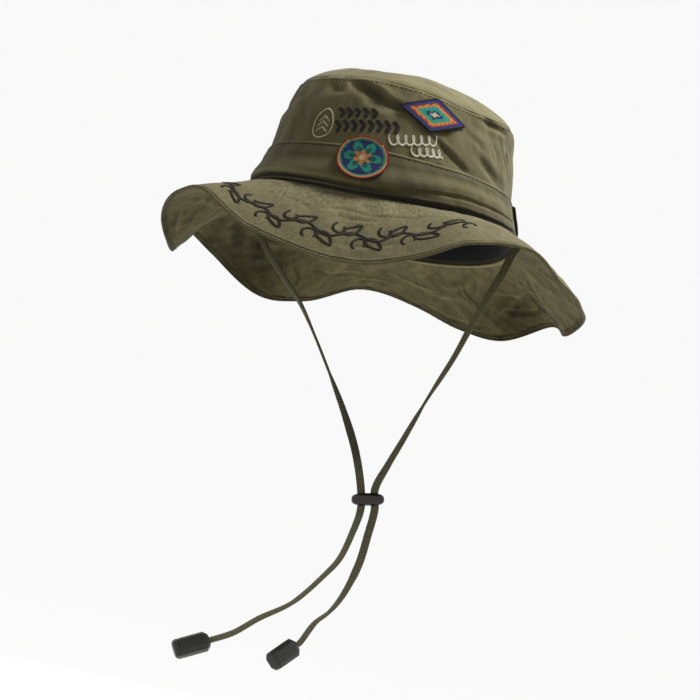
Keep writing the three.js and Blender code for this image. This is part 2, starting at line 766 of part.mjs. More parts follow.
// Faceted end piece: chamfered rectangles along its length, with bevelled shoulders
function cordEnd(side, { neck, axis, roll }) {
  const bevel = 2.6;
  const sections = [
    { at: 0, width: cordEndNeck, depth: cordEndNeck * 0.75, chamfer: 1.2 },
    { at: bevel, width: cordEndWidth, depth: cordEndDepth, chamfer: 2 },
    { at: cordEndLength - bevel, width: cordEndWidth, depth: cordEndDepth, chamfer: 2 },
    { at: cordEndLength, width: cordEndWidth - bevel, depth: cordEndDepth - bevel, chamfer: 1.5 },
  ];
  const depthAxis = new THREE.Vector3(0, 1, 0).addScaledVector(axis, -axis.y).normalize();
  depthAxis.applyAxisAngle(axis, degToRad(roll));
  const widthAxis = depthAxis.clone().cross(axis);
  const points = sections.flatMap(({ at, width, depth, chamfer }) => {
    const [x, y] = [width / 2, depth / 2];
    const corners = [[x, y - chamfer], [x - chamfer, y], [chamfer - x, y], [-x, y - chamfer],
      [-x, chamfer - y], [chamfer - x, -y], [x - chamfer, -y], [x, chamfer - y]];
    return corners.map(([across, deep]) => neck.clone()
      .addScaledVector(axis, at)
      .addScaledVector(widthAxis, across)
      .addScaledVector(depthAxis, deep));
  });
  const sides = 8;
  const faces = [];
  const last = (sections.length - 1) * sides;
  for (let corner = 0; corner < sides; corner += 1) {
    const next = (corner + 1) % sides;
    for (let section = 0; section < last; section += sides) {
      faces.push(...quad(points, section + corner, section + next, section + sides + next,
        section + sides + corner));
    }
    if (corner > 0 && next > 0) {
      faces.push([0, next, corner]);
      faces.push([last, last + corner, last + next]);
    }
  }
  return plastic(`cord_end_${side}`, solid(points, faces), 0.6);
}

const hat = new THREE.Group();
hat.add(crownTip(), crownWall(), crownBand(), brim(), brimBinding(), sweatband(), sideLoop());
hat.add(patch('patch_round', roundPatchPlace, circleOutline(roundPatchDiameter, 24), roundPatchColour));
hat.add(patch(
  'patch_diamond',
  diamondPatchPlace,
  diamondOutline(diamondPatchLength, diamondPatchWidth, 5),
  diamondPatchColour,
));
for (const [side, turn] of Object.entries(eyeletTurns)) hat.add(eyelet(side, turn));
hat.add(toggle());
hat.add(cord('right', 270, -cordSpacing / 2, cordRoutes.right, cordEnds.right));
hat.add(cord('left', 90, cordSpacing / 2, cordRoutes.left, cordEnds.left));
hat.add(cordEnd('right', cordEnds.right), cordEnd('left', cordEnds.left));

export default hat;
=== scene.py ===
# %% [markdown]
# # A wide-brimmed sun hat
#
# A soft bucket crown with a band, a wavy brim with a bound edge, two embroidered patches,
# rows of embroidery, vent eyelets, a webbing loop, and a flat braided chin cord that runs
# through a slide to two moulded ends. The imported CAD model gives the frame: its solids say
# where every piece is, and each cell below makes the piece that stands for one of them.

# %% Load the frame
import math
from contextlib import contextmanager

import bmesh
import bpy
import numpy as np
from mathutils import Matrix, Vector


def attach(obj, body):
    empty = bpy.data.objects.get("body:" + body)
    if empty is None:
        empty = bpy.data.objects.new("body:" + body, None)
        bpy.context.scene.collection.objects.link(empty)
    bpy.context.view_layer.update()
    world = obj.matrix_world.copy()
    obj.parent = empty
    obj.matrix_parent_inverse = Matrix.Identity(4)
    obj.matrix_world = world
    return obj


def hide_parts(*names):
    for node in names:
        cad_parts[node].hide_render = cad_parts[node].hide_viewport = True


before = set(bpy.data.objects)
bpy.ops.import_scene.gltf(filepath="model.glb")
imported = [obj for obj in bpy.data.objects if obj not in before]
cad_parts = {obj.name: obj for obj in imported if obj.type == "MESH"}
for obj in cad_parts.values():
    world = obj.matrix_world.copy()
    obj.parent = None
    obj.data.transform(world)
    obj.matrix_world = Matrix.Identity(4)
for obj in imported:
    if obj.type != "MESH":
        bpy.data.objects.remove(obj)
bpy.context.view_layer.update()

MM = 0.001
BODY = "root"


def new_object(name, data):
    """Object with its data, linked into the scene."""
    made = bpy.data.objects.new(name, data)
    bpy.context.scene.collection.objects.link(made)
    return made


# %% [markdown]
# ## Camera
#
# The photograph looks at the hat from a little to its left and slightly from below, and the
# hat is tilted in the picture. The camera is built from those angles, and from the pixel at
# which the middle of the head opening appears, so that the hat itself stays upright.

# %% Camera
AZIMUTH, ELEVATION, ROLL = (math.radians(a) for a in (10.942, -6.68, 11.969))
DISTANCE = 1.606
IMAGE_SIZE = 700
FOCAL_PIXELS = 2493
OPENING_PIXEL = (385.4, 225.2)
SENSOR_WIDTH = 36

back = Vector((
    math.sin(AZIMUTH) * math.cos(ELEVATION), -math.cos(AZIMUTH) * math.cos(ELEVATION), math.sin(ELEVATION)))
level = Vector((math.cos(AZIMUTH), math.sin(AZIMUTH), 0))
upright = back.cross(level)
right = level * math.cos(ROLL) + upright * math.sin(ROLL)
up = upright * math.cos(ROLL) - level * math.sin(ROLL)
across_px = (OPENING_PIXEL[0] - IMAGE_SIZE / 2) / FOCAL_PIXELS
up_px = (IMAGE_SIZE / 2 - OPENING_PIXEL[1]) / FOCAL_PIXELS
camera_data = bpy.data.cameras.new("camera")
camera_data.sensor_width = SENSOR_WIDTH
camera_data.lens = FOCAL_PIXELS / IMAGE_SIZE * SENSOR_WIDTH
camera = new_object("camera", camera_data)
turned = Matrix((right, up, back)).transposed().to_4x4()
place = (back - right * across_px - up * up_px) * DISTANCE
camera.matrix_world = Matrix.Translation(place) @ turned
bpy.context.scene.camera = camera
print("camera", round(camera_data.lens), "mm lens at", [round(v, 2) for v in place])

# %% [markdown]
# ## Shapes shared by all the cloth pieces
#
# Crown and brim follow a few tables: how steep the brim is at each turn round the hat, how
# the seams rise and fall, and where soft dents lie. The tables and formulas are the CAD
# model's own, in millimetres, so that every fine piece lands on its solid. A turn is in
# degrees from the front toward the wearer's left.

# %% Tables of the hat's form
RING_HALF_WIDTH, RING_HALF_LENGTH = 86.75, 103.25
CROWN_THICKNESS = 1.5
CROWN_HEIGHT = 75
TAPER_SIDE, TAPER_FRONT = 18.5, 21
BARREL, BARREL_SKEW, LEAN = 2.4, 1.4, -3.2
DOME_RISE, DOME_POWER = 19.5, 3.1
DENT_DEPTH, SEAM_SAG, JOINT_RISE = 4, 4, 3
BAND_THICKNESS, BAND_HEIGHT, BAND_PUFF = 1.3, 30, 3.8
BRIM_WIDTH, BRIM_THICKNESS, BRIM_BEND = 65.5, 1.2, 12
GAP = 0.3

# turn, slope of the brim below the level in degrees
BRIM_FOLDS = [
    (0, 48.5), (10, 46.5), (20, 36.5), (30, 21.5), (45, 17.5), (60, 28.5), (75, 34),
    (90, 38), (105, 40.5), (120, 38.5), (135, 26.5), (150, 39), (165, 33), (180, 20),
    (195, 14), (210, 36), (225, 44), (240, 25), (255, 17), (270, 40.5), (285, 45),
    (300, 31.5), (315, 22), (325, 19), (337, 36), (348, 44),
]
# turn, rise of the joint, sag of the tip seam, height and puff of the band, as shares
RISE, SAG, BAND, PUFF = 1, 2, 3, 4
RING_FOLDS = [
    (0, -0.7, 0.0, 1.0, 1.0), (25, -0.2, 0.4, 0.93, 1.0), (48, 0.7, 1.0, 0.86, 0.9),
    (90, 1.3, 0.2, 0.76, 0.15), (150, -0.3, 0.3, 0.9, 0.6), (210, -0.3, 0.0, 0.95, 0.8),
    (270, 0.9, -0.3, 0.9, 1.0), (312, 1.0, -0.2, 0.87, 1.0), (338, 0.0, 0.0, 0.93, 1.0),
]
# turn, share of height, half span in turn and in height, lean, share of DENT_DEPTH
CROWN_DENTS = [
    (100, 0.24, 36, 0.44, 0, 1.5), (63, 0.9, 15, 0.16, 6, 0.8), (-3, 0.84, 14, 0.16, -18, 0.4),
    (-30, 0.9, 14, 0.14, 4, 0.4), (37, 0.46, 12, 0.16, -14, 0.4), (62, 0.47, 11, 0.16, -10, 0.4),
    (140, 0.7, 26, 0.3, -12, 0.7), (205, 0.55, 24, 0.35, 14, 0.6), (250, 0.8, 22, 0.24, -10, 0.4),
]


def around(table, column, turn):
    """Smooth value of a table's column at any turn; the rows go once round the hat."""
    rows = len(table)
    at = np.array([row[0] for row in table], float)
    value = np.array([row[column] for row in table], float)
    at = np.concatenate([at - 360, at, at + 360])
    value = np.tile(value, 3)
    wrapped = np.mod(turn, 360)
    index = np.searchsorted(at[: 2 * rows], wrapped, side="right") - 1
    before, start, end, after = (value[index + step] for step in (-1, 0, 1, 2))
    at_before, at_start, at_end, at_after = (at[index + step] for step in (-1, 0, 1, 2))
    span = at_end - at_start
    share = (wrapped - at_start) / span
    leaving = (end - before) / (at_end - at_before) * span
    arriving = (after - start) / (at_after - at_start) * span
    square, cube = share**2, share**3
    return (
        (2 * cube - 3 * square + 1) * start + (cube - 2 * square + share) * leaving
        + (3 * square - 2 * cube) * end + (cube - square) * arriving
    )


def window(offset, span):
    """1 in the middle of a span and 0 at its ends."""
    return np.cos(np.pi / 2 * np.minimum(1, np.abs(offset) / span)) ** 2


def mound(offset, width):
    """Bell curve: 1 in the middle, and a third at one width away."""
    return np.exp(-((offset / width) ** 2))


def turn_offset(turn, middle):
    """Degrees from a turn, between -180 and 180."""
    return np.mod(turn - middle + 180, 360) - 180


def plateau(turn, middle, span):
    """1 over the middle part of a span of turns, 0 at its ends."""
    return np.clip(1.8 * window(turn_offset(turn, middle), span), 0, 1)


def dent_at(turn, share):
    """How deep the crown's soft dents push its side in, in mm."""
    depth = 0
    for middle, height, turn_span, height_span, lean, strength in CROWN_DENTS:
        rise = (share - height) / height_span
        depth = depth + DENT_DEPTH * strength * window(rise, 1) * window(
            turn_offset(turn, middle + lean * rise), turn_span)
    return depth


def joint_height(turn):
    """Level of the seam between crown and brim."""
    return JOINT_RISE * around(RING_FOLDS, RISE, turn)


def tip_seam_height(turn):
    """Level of the seam round the crown's tip."""
    return CROWN_HEIGHT - SEAM_SAG * around(RING_FOLDS, SAG, turn)


def band_top(turn):
    """Height of the band's upper edge above the joint."""
    return BAND_HEIGHT * around(RING_FOLDS, BAND, turn)


def share_at(turn, height):
    """Share of the crown's side at a height above the joint."""
    return height / (tip_seam_height(turn) - joint_height(turn))


def ring_normal(turn):
    """Level unit normal of the oval that the head opening follows."""
    angle = np.radians(turn)
    normal = np.stack(
        [RING_HALF_LENGTH * np.sin(angle), -RING_HALF_WIDTH * np.cos(angle), 0 * angle], -1)
    return normal / np.linalg.norm(normal, axis=-1, keepdims=True)


def crown_point(turn, share):
    """Point on the outer face of the crown's side; 0 is the joint and 1 the tip seam."""
    turn, share = np.broadcast_arrays(np.asarray(turn, float), np.asarray(share, float))
    angle = np.radians(turn)
    lift = np.maximum(share, 0)
    barrel = BARREL * np.sin(np.pi * np.minimum(lift, 1) ** BARREL_SKEW)
    half_width = RING_HALF_WIDTH - TAPER_SIDE * lift + barrel
    half_length = RING_HALF_LENGTH - TAPER_FRONT * lift + barrel
    low, high = joint_height(turn), tip_seam_height(turn)
    point = np.stack([
        LEAN * lift + half_width * np.sin(angle),
        -half_length * np.cos(angle),
        low + (high - low) * share,
    ], -1)
    return point - ring_normal(turn) * dent_at(turn, lift)[..., None]


def dome_point(turn, share):
    """Point on the outer face of the tip; 0 is the tip seam and 1 the top of the dome."""
    turn, share = np.broadcast_arrays(np.asarray(turn, float), np.asarray(share, float))
    edge = crown_point(turn, 1)
    reach = 1 - share
    rise = DOME_RISE * (1 - reach**DOME_POWER)
    return np.stack([
        LEAN + (edge[..., 0] - LEAN) * reach,
        edge[..., 1] * reach,
        CROWN_HEIGHT + (edge[..., 2] - CROWN_HEIGHT) * reach**2 + rise,
    ], -1)


def brim_point(turn, share):
    """Point on the top face of the brim; 0 is the joint and 1 the rim."""
    turn, share = np.broadcast_arrays(np.asarray(turn, float), np.asarray(share, float))
    start = np.radians(around(BRIM_FOLDS, 1, turn) - BRIM_BEND)
    half = np.radians(BRIM_BEND) * share
    chord = BRIM_WIDTH * share * np.sinc(half / np.pi)
    point = crown_point(turn, 0)
    point = point + ring_normal(turn) * (GAP + chord * np.cos(start + half))[..., None]
    point[..., 2] -= chord * np.sin(start + half)
    return point


TURN_STEP, SHARE_STEP = 0.5, 0.005


def normal_of(surface, turn, share):
    """Outward unit normal of a surface given by turn and share."""
    along = surface(turn + TURN_STEP, share) - surface(turn - TURN_STEP, share)
    rising = surface(turn, share + SHARE_STEP) - surface(turn, share - SHARE_STEP)
    normal = np.cross(along, rising)
    return normal / np.linalg.norm(normal, axis=-1, keepdims=True)


print("joint height at the front", round(float(joint_height(0.0)), 2), "mm")

# %% [markdown]
# ## Creases
#
# Worn cotton is full of small folds. Each one here is a path on the cloth with a width and
# a depth: a valley, and a lip beside it where the cloth is pushed up. Slow waves round the
# hat keep the stretches between them from looking machined. All of it is real relief in
# the meshes, so it shows from every side.

# %% Crease and ripple fields
# share of its depth that a crease loses at its ends
CREASE_FADE = 0.75
# the ridge beside a crease: distance and width in widths of the crease, height as a share
RIDGE_PLACE, RIDGE_WIDTH, RIDGE_SHARE = 1.9, 1.1, 0.45
# how much of the ridge is left on the side away from the lip, and on both where there is none
FAR_SIDE, BOTH_SIDES = 0.25, 0.45


def crease_field(creases, turn, rise, mm_per_degree):
    """Height in mm that a table of creases adds at each turn and rise of a cloth."""
    height = np.zeros(np.broadcast(turn, rise).shape)
    for path, width, depth, lip in creases:
        path = np.array(path, float)
        across = turn_offset(turn, path[0, 0]) * mm_per_degree
        corners = np.stack([turn_offset(path[:, 0], path[0, 0]) * mm_per_degree, path[:, 1]], -1)
        steps = np.linalg.norm(np.diff(corners, axis=0), axis=1)
        total, walked = steps.sum(), 0.0
        nearest = np.full(height.shape, 1e9)
        side = np.zeros(height.shape)
        along = np.zeros(height.shape)
        for start, end, step in zip(corners[:-1], corners[1:], steps):
            way = (end - start) / step
            reach = np.clip((across - start[0]) * way[0] + (rise - start[1]) * way[1], 0, step)
            off_x = across - start[0] - way[0] * reach
            off_y = rise - start[1] - way[1] * reach
            distance = np.hypot(off_x, off_y)
            closer = distance < nearest
            nearest = np.where(closer, distance, nearest)
            side = np.where(closer, np.sign(way[0] * off_y - way[1] * off_x), side)
            along = np.where(closer, (walked + reach) / total, along)
            walked += step
        strength = depth * (1 - (2 * along - 1) ** 2 * CREASE_FADE)
        ridge = mound(nearest - RIDGE_PLACE * width, RIDGE_WIDTH * width)
        raised = np.where(side * np.sign(lip) > 0, 1, FAR_SIDE) if lip else BOTH_SIDES
        height += strength * (RIDGE_SHARE * ridge * raised - mound(nearest, width))
    return height


def ripples(turn, rise, seed, waves, lowest, highest, rise_length):
    """Slow waves of unit height that close once round the hat."""
    random = np.random.default_rng(seed)
    height = 0
    for _ in range(waves):
        laps = random.integers(lowest, highest)
        slant = random.uniform(-1, 1) * 2 * np.pi / rise_length
        start = random.uniform(0, 2 * np.pi)
        height = height + np.sin(laps * np.radians(turn) + slant * rise + start)
    return height / math.sqrt(waves)


def wave_field(waves, turn, rise):
    """Several sets of ripples together; a row is a height in mm and what ripples takes."""
    return sum(height * ripples(turn, rise, *kind) for height, *kind in waves)


def dimples(x, y, seed, waves=9):
    """The same for a flat patch of cloth: waves of 26 to 60 mm that run every way."""
    random = np.random.default_rng(seed)
    height = 0
    for _ in range(waves):
        heading, length = random.uniform(0, np.pi), random.uniform(26, 60)
        across = x * math.cos(heading) + y * math.sin(heading)
        height = height + np.sin(2 * np.pi * across / length + random.uniform(0, 2 * np.pi))
    return height / math.sqrt(waves)


# Broad swells and hollows in mm: turn, rise, half span in turn and in rise, height
CROWN_SWELLS = [(76, 74, 44, 18, 4.4), (97, 46, 40, 20, -1.7), (286, 26, 24, 40, -1.2)]
BRIM_SWELLS = [
    (322, 36, 28, 38, -2.7), (311, 64, 13, 18, 2.0), (299, 64, 12, 16, 1.0),
    (198, 66, 18, 34, -4.0),
    (72, 20, 24, 26, -2.8), (98, 65, 18, 16, 3.4), (34, 64, 18, 26, -2.0), (272, 56, 12, 18, -1.6),
]
TIP_SWELLS = [(-12, -49, 42, -2.4), (34, -30, 24, -0.8)]


def swell_field(swells, turn, rise):
    """Sum of a table of soft mounds, each with its place, half spans and height."""
    height = 0.0
    for middle, level, turn_span, rise_span, size in swells:
        across = window(turn_offset(turn, middle), turn_span)
        height = height + size * across * window(rise - level, rise_span)
    return height


# Path of (turn, height above the origin), width, depth, side of the lip (1 is above a
# path that runs toward the wearer's left, -1 below it, 0 both)
CROWN_CREASES = [
    ([(-21, 74), (-12, 69), (-2.5, 63.5), (5, 58.5), (13, 57)], 3.0, 2.6, 1),
    ([(-31, 71), (-26, 66.5), (-19, 65)], 2.4, 1.5, 1),
    ([(-9, 60), (-1, 57), (6, 52)], 1.8, 0.6, -1),
    ([(22, 48), (29, 43), (36, 37), (42, 31.5), (47, 28.5)], 1.7, 1.15, 1),
    ([(52, 43), (58, 37), (67, 31)], 2.8, 1.3, 1),
    ([(53, 68.5), (62, 69), (75, 68)], 2.4, 2.3, -1),
    ([(43, 56), (50, 53), (56, 47)], 2.4, 0.7, 1),
    ([(-48, 60), (-40, 50), (-36, 38)], 3.2, 0.7, 1),
    ([(-28, 57), (-27, 46), (-30, 36)], 2.2, 0.35, 1),
    ([(-60, 66), (-53, 62), (-45, 64)], 2.4, 0.8, -1),
    ([(70, 62), (72, 52), (76, 42), (82, 30)], 1.8, 0.8, 1),
    ([(62, 58), (66, 50), (66, 42)], 2.0, 0.5, -1),
    ([(14, 73), (24, 74), (33, 72.5)], 1.6, 0.35, -1),
    ([(105, 66), (114, 58), (126, 53)], 3.2, 1.1, 1),
    ([(132, 44), (141, 52), (152, 55)], 3.0, 0.9, -1),
    ([(160, 68), (171, 61), (186, 59)], 3.0, 1.0, 1),
    ([(196, 46), (204, 53), (216, 57)], 3.2, 0.9, -1),
    ([(222, 69), (233, 62), (246, 60)], 2.8, 1.0, 1),
    ([(250, 43), (258, 51), (270, 54)], 3.2, 0.9, 1),
    ([(284, 63), (292, 56), (302, 53)], 3.0, 0.9, -1),
]
CROWN_MM_PER_DEGREE = 1.5
# height in mm, seed, number of waves, fewest and most laps, rise in mm that slants one wave
CROWN_WAVES = [(0.30, 3, 9, 14, 34, 34), (0.10, 4, 9, 40, 85, 14)]
# a seam pulls the cloth in: depth and half width of its groove, and how far off it flattens
# the creases, all in mm, and the share of them that is left at the seam
SEAM_DEPTH, SEAM_HALF_WIDTH, SEAM_REACH, SEAM_SHARE = 0.9, 1.3, 6, 0.25


def near_seam(relief, distance):
    """Relief as a seam at a distance leaves it."""
    return relief * np.clip(distance / SEAM_REACH, SEAM_SHARE, 1)


def crown_detail(turn, rise):
    """Creases and ripples of the crown's side, in mm."""
    creases = crease_field(CROWN_CREASES, turn, rise, CROWN_MM_PER_DEGREE)
    return creases + wave_field(CROWN_WAVES, turn, rise)


def crown_skin(turn, height):
    """Outer face of the crown's cloth at a height above the joint, creases included."""
    turn, height = np.broadcast_arrays(np.asarray(turn, float), np.asarray(height, float))
    share = share_at(turn, height)
    point = crown_point(turn, share)
    relief = crown_detail(turn, point[..., 2])
    seam = tip_seam_height(turn) - joint_height(turn) - height
    relief = near_seam(relief, seam) - SEAM_DEPTH * mound(seam, SEAM_HALF_WIDTH)
    point = point + normal_of(crown_point, turn, share) * relief[..., None]
    return point + ring_normal(turn) * swell_field(CROWN_SWELLS, turn, point[..., 2])[..., None]


# %% [markdown]
# ## Meshes from grids of points
#
# Every cloth piece is a closed shell: a grid of points over its outer face, carried round
# its edges onto its inner face. One function turns such a grid into a mesh with a UV map
# in millimetres, which the weave and the stitches need, and with a tone for each point:
# above 0 the cloth is painted paler and below 0 darker, mostly as painted highlight and
# painted shade, with some uneven fading of the cloth itself.

# %% Mesh helpers
def finish_mesh(name, mesh, material, stands_for):
    """Links a mesh as a piece in the frame and hides the CAD parts that it stands for."""
    piece = new_object(name, mesh)
    mesh.materials.clear()
    mesh.materials.append(material)
    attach(piece, BODY)
    if stands_for:
        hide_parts(*stands_for)
    print(name, len(mesh.polygons), "faces")
    return piece


@contextmanager
def edited(mesh):
    """The mesh opened for editing; what is done to it is written back at the end."""
    work = bmesh.new()
    work.from_mesh(mesh)
    yield work
    work.to_mesh(mesh)
    work.free()


def smooth_all(mesh):
    mesh.polygons.foreach_set("use_smooth", np.ones(len(mesh.polygons), bool))


def evaluated_mesh(holder):
    """Plain mesh of an object with its modifiers applied."""
    graph = bpy.context.evaluated_depsgraph_get()
    return bpy.data.meshes.new_from_object(
        holder.evaluated_get(graph), preserve_all_data_layers=True, depsgraph=graph)


def walked_along(points):
    """Distance walked to each point of a line, from 0."""
    return np.concatenate([[0], np.cumsum(np.linalg.norm(np.diff(points, axis=0), axis=1))])


# points of a grid that are nearer than this, in mm, become one where a pole is closed
POLE_MERGE = 0.01


def grid_mesh(name, points, uv, tone, close_poles=False, pucker=0.0):
    """Mesh from points (rows, columns, 3) in mm; both directions close on themselves.
    uv is (rows + 1, columns + 1, 2) in mm, tone is (rows, columns)."""
    rows, columns = points.shape[:2]
    row, column = np.meshgrid(np.arange(rows), np.arange(columns), indexing="ij")
    next_row, next_column = (row + 1) % rows, (column + 1) % columns
    corners = [(row, column), (row, next_column), (next_row, next_column), (next_row, column)]
    faces = np.stack([(r * columns + c).ravel() for r, c in corners], 1)
    mesh = bpy.data.meshes.new(name)
    mesh.from_pydata((points.reshape(-1, 3) * MM).tolist(), [], faces.tolist())
    spots = [(row, column), (row, column + 1), (row + 1, column + 1), (row + 1, column)]
    layer = mesh.uv_layers.new(name="cloth_mm")
    flat = np.stack([uv[r, c].reshape(-1, 2) for r, c in spots], 1)
    layer.data.foreach_set("uv", flat.astype(np.float32).ravel())
    for label, values in (("tone", tone), ("pucker", pucker)):
        layer = mesh.attributes.new(label, "FLOAT", "POINT")
        values = np.broadcast_to(values, (rows, columns)).astype(np.float32)
        layer.data.foreach_set("value", values.ravel())
    smooth_all(mesh)
    if close_poles:
        with edited(mesh) as work:
            bmesh.ops.remove_doubles(work, verts=work.verts, dist=POLE_MERGE * MM)
    mesh.update()
    return mesh


def shell_uv(points, along):
    """UV of a shell: distance along the lap, and distance walked over its rows."""
    rows = points.shape[0]
    steps = np.linalg.norm(np.diff(points, axis=0), axis=-1).mean(1)
    walked = np.concatenate([[0], np.cumsum(steps), [steps.sum() + 1]])
    uv = np.zeros((rows + 1, len(along), 2))
    uv[..., 0] = along[None, :]
    uv[..., 1] = walked[:, None]
    return uv


def laps(columns):
    """Turns of the columns of a shell, and distance along the lap with the last repeated."""
    turn = np.arange(columns) * 360 / columns
    lap_length = 2 * np.pi * (RING_HALF_WIDTH + RING_HALF_LENGTH) / 2
    return turn, np.arange(columns + 1) * lap_length / columns

# %% [markdown]
# ## Cotton twill
#
# The hat is piece-dyed cotton twill that has been garment washed: matte, with a faint
# nap that lightens at grazing angles, diagonal wales, and uneven dye. Painted shade darkens
# its folds and a painted highlight lightens its ridges. The wales are about 0.6 mm apart on
# such cloth, which is finer than a pixel of the picture, so they are drawn a little more than twice as coarse.

# %% Material helpers
def linear(hex_colour):
    """Linear colour of an sRGB hex value such as '#6f6a4c', with an alpha of 1."""
    channels = [int(hex_colour[i:i + 2], 16) / 255 for i in (1, 3, 5)]
    return (*[c / 12.92 if c <= 0.04045 else ((c + 0.055) / 1.055) ** 2.4 for c in channels], 1.0)


def add(tree, kind, inputs=None, **settings):
    """Adds a node to a tree with its settings, and links or sets its inputs."""
    made = tree.nodes.new(kind)
    for key, value in settings.items():
        setattr(made, key, value)
    for key, value in (inputs or {}).items():
        if isinstance(value, bpy.types.NodeSocket):
            tree.links.new(value, made.inputs[key])
        else:
            made.inputs[key].default_value = value
    return made


def new_material(name, roughness, sheen=0.0, specular=0.5):
    """A material with its shader, and the shader's fixed values set on its own sockets."""
    material = bpy.data.materials.new(name)
    material.use_nodes = True
    tree = material.node_tree
    shader = tree.nodes["Principled BSDF"]
    shader.inputs["Roughness"].default_value = roughness
    shader.inputs["Sheen Weight"].default_value = sheen
    shader.inputs["Sheen Roughness"].default_value = 0.5
    shader.inputs["Specular IOR Level"].default_value = specular
    return material, tree, shader


def mixed(tree, factor, first, second, blend="MIX"):
    """Result socket of a colour mix."""
    mix = add(tree, "ShaderNodeMix", data_type="RGBA", blend_type=blend, clamp_factor=True)
    for index, value in ((0, factor), (6, first), (7, second)):
        if isinstance(value, bpy.types.NodeSocket):
            tree.links.new(value, mix.inputs[index])
        else:
            mix.inputs[index].default_value = value
    return mix.outputs[2]


def calculate(tree, operation, first, second=0.0, third=0.0):
    """Result socket of a math node."""
    return add(tree, "ShaderNodeMath", {0: first, 1: second, 2: third}, operation=operation).outputs[0]


def dimmed(tree, colour, level):
    """Colour socket multiplied by a level that may vary."""
    grey = add(tree, "ShaderNodeCombineXYZ", {0: level, 1: level, 2: level}).outputs[0]
    return mixed(tree, 1.0, colour, grey, "MULTIPLY")


def roughen(tree, shader, height, strength, depth_mm):
    """Fine relief on a shader's normal."""
    bump = add(tree, "ShaderNodeBump", {"Height": height, "Strength": strength, "Distance": depth_mm * MM})
    tree.links.new(bump.outputs[0], shader.inputs["Normal"])


# Blender's wave texture has 20 units to a turn of 2 pi, so this scale gives bands of 1 mm
BANDS_PER_MM = 2 * math.pi / 20


# %% Twill material
# width and height in mm of the small upright streaks in puckered cloth
DASH_MM = (1.6, 4.5)


def twill_material(name, deep, middle, faded_and_lit, wale_mm=1.35):
    """Washed cotton twill: dark where tone is below 0 and pale where it is above; tone holds painted shade and
    painted highlight.
    """
    material, tree, shader = new_material(name, roughness=0.93, sheen=0.12, specular=0.25)
    uv = add(tree, "ShaderNodeUVMap", uv_map="cloth_mm").outputs[0]
    tone = add(tree, "ShaderNodeAttribute", attribute_name="tone").outputs["Fac"]
    wale = add(tree, "ShaderNodeMapping", {"Vector": uv, "Rotation": (0, 0, math.radians(58))})
    slub = add(tree, "ShaderNodeTexNoise", {
        "Vector": uv, "Scale": 0.9, "Detail": 2.0, "Roughness": 0.6})
    wave = add(tree, "ShaderNodeTexWave", {
        "Vector": wale.outputs[0], "Scale": BANDS_PER_MM / wale_mm, "Distortion": 1.2,
        "Detail": 1.0, "Detail Scale": 0.8}, wave_type="BANDS", bands_direction="X")
    pucker = add(tree, "ShaderNodeAttribute", attribute_name="pucker").outputs["Fac"]
    upright = add(tree, "ShaderNodeMapping", {
        "Vector": uv, "Scale": (1 / DASH_MM[0], 1 / DASH_MM[1], 1)})
    dashes = add(tree, "ShaderNodeTexNoise", {
        "Vector": upright.outputs[0], "Scale": 1.0, "Detail": 3.0, "Roughness": 0.7})
    patchy = add(tree, "ShaderNodeTexNoise", {"Vector": uv, "Scale": 0.16, "Detail": 2.0})
    dashes = calculate(tree, "SUBTRACT", dashes.outputs[0], 0.48)
    dashes = calculate(tree, "MULTIPLY", dashes, patchy.outputs[0])
    dye = add(tree, "ShaderNodeTexNoise", {
        "Vector": uv, "Scale": 0.06, "Detail": 3.0, "Roughness": 0.55})
    level = calculate(tree, "MULTIPLY_ADD", dye.outputs[0], 0.7, -0.35)
    level = calculate(tree, "ADD", level, tone)
    level = calculate(tree, "MULTIPLY_ADD", dashes, calculate(tree, "MULTIPLY", pucker, 9.0), level)
    level = calculate(tree, "MULTIPLY_ADD", slub.outputs[0], 0.6, calculate(tree, "ADD", level, -0.3))
    below = calculate(tree, "MULTIPLY", level, -1.0)
    colour = mixed(tree, below, middle, deep)
    colour = mixed(tree, level, colour, faded_and_lit)
    ribs = calculate(tree, "MULTIPLY_ADD", wave.outputs[1], 0.14, 0.93)
    tree.links.new(dimmed(tree, colour, ribs), shader.inputs["Base Color"])
    grain = calculate(tree, "MULTIPLY_ADD", slub.outputs[0], 0.8, wave.outputs[1])
    roughen(tree, shader, grain, strength=0.5, depth_mm=0.18)
    return material


TWILL_DEEP, TWILL_MIDDLE, TWILL_FADED_AND_LIT = (linear(c) for c in ("#29251a", "#7d7757", "#b3ac86"))
twill = twill_material("cotton_twill_garment_washed", TWILL_DEEP, TWILL_MIDDLE, TWILL_FADED_AND_LIT)

# %% [markdown]
# ## Crown side
#
# The side of a bucket crown is one strip of twill sewn into a ring. It is made as a fine
# grid over the CAD model's own surface, pushed in and out by the creases, and closed round
# its two hidden edges. The four vent holes are cut right through it.

# %% Cutting
def cut_by(piece_mesh, cutters):
    """Mesh with other meshes cut out of it."""
    host = new_object("host", piece_mesh)
    tools = [new_object("tool", mesh) for mesh in cutters]
    for tool in tools:
        modifier = host.modifiers.new("cut", "BOOLEAN")
        modifier.operation, modifier.solver, modifier.object = "DIFFERENCE", "EXACT", tool
    result = evaluated_mesh(host)
    for gone in (host, *tools):
        bpy.data.objects.remove(gone)
    return result


# %% Crown side
SIDE_COLUMNS, SIDE_ROWS = 480, 66
# where the cloth is painted paler (painted highlight on the folds at the top left and along
# the top, and a little over the front), and where its weave is pulled into fine upright
# puckers: turn, height, half span in turn and in height, amount
CROWN_PAINTED_HIGHLIGHTS = [
    (-40, 69, 15, 9, 0.6), (-20, 68, 15, 12, 0.45), (60, 75, 60, 9, 0.3), (5, 40, 45, 12, 0.15),
]
CROWN_PUCKER = [(-22, 70, 16, 14, 1.0), (-5, 58, 20, 10, 0.3), (33, 38, 14, 9, 0.35)]


# mm that the inner face keeps below the outer one at the tip seam
SIDE_TOP_STEP = 0.4
# tone of cloth that nobody sees
HIDDEN_TONE = -0.1


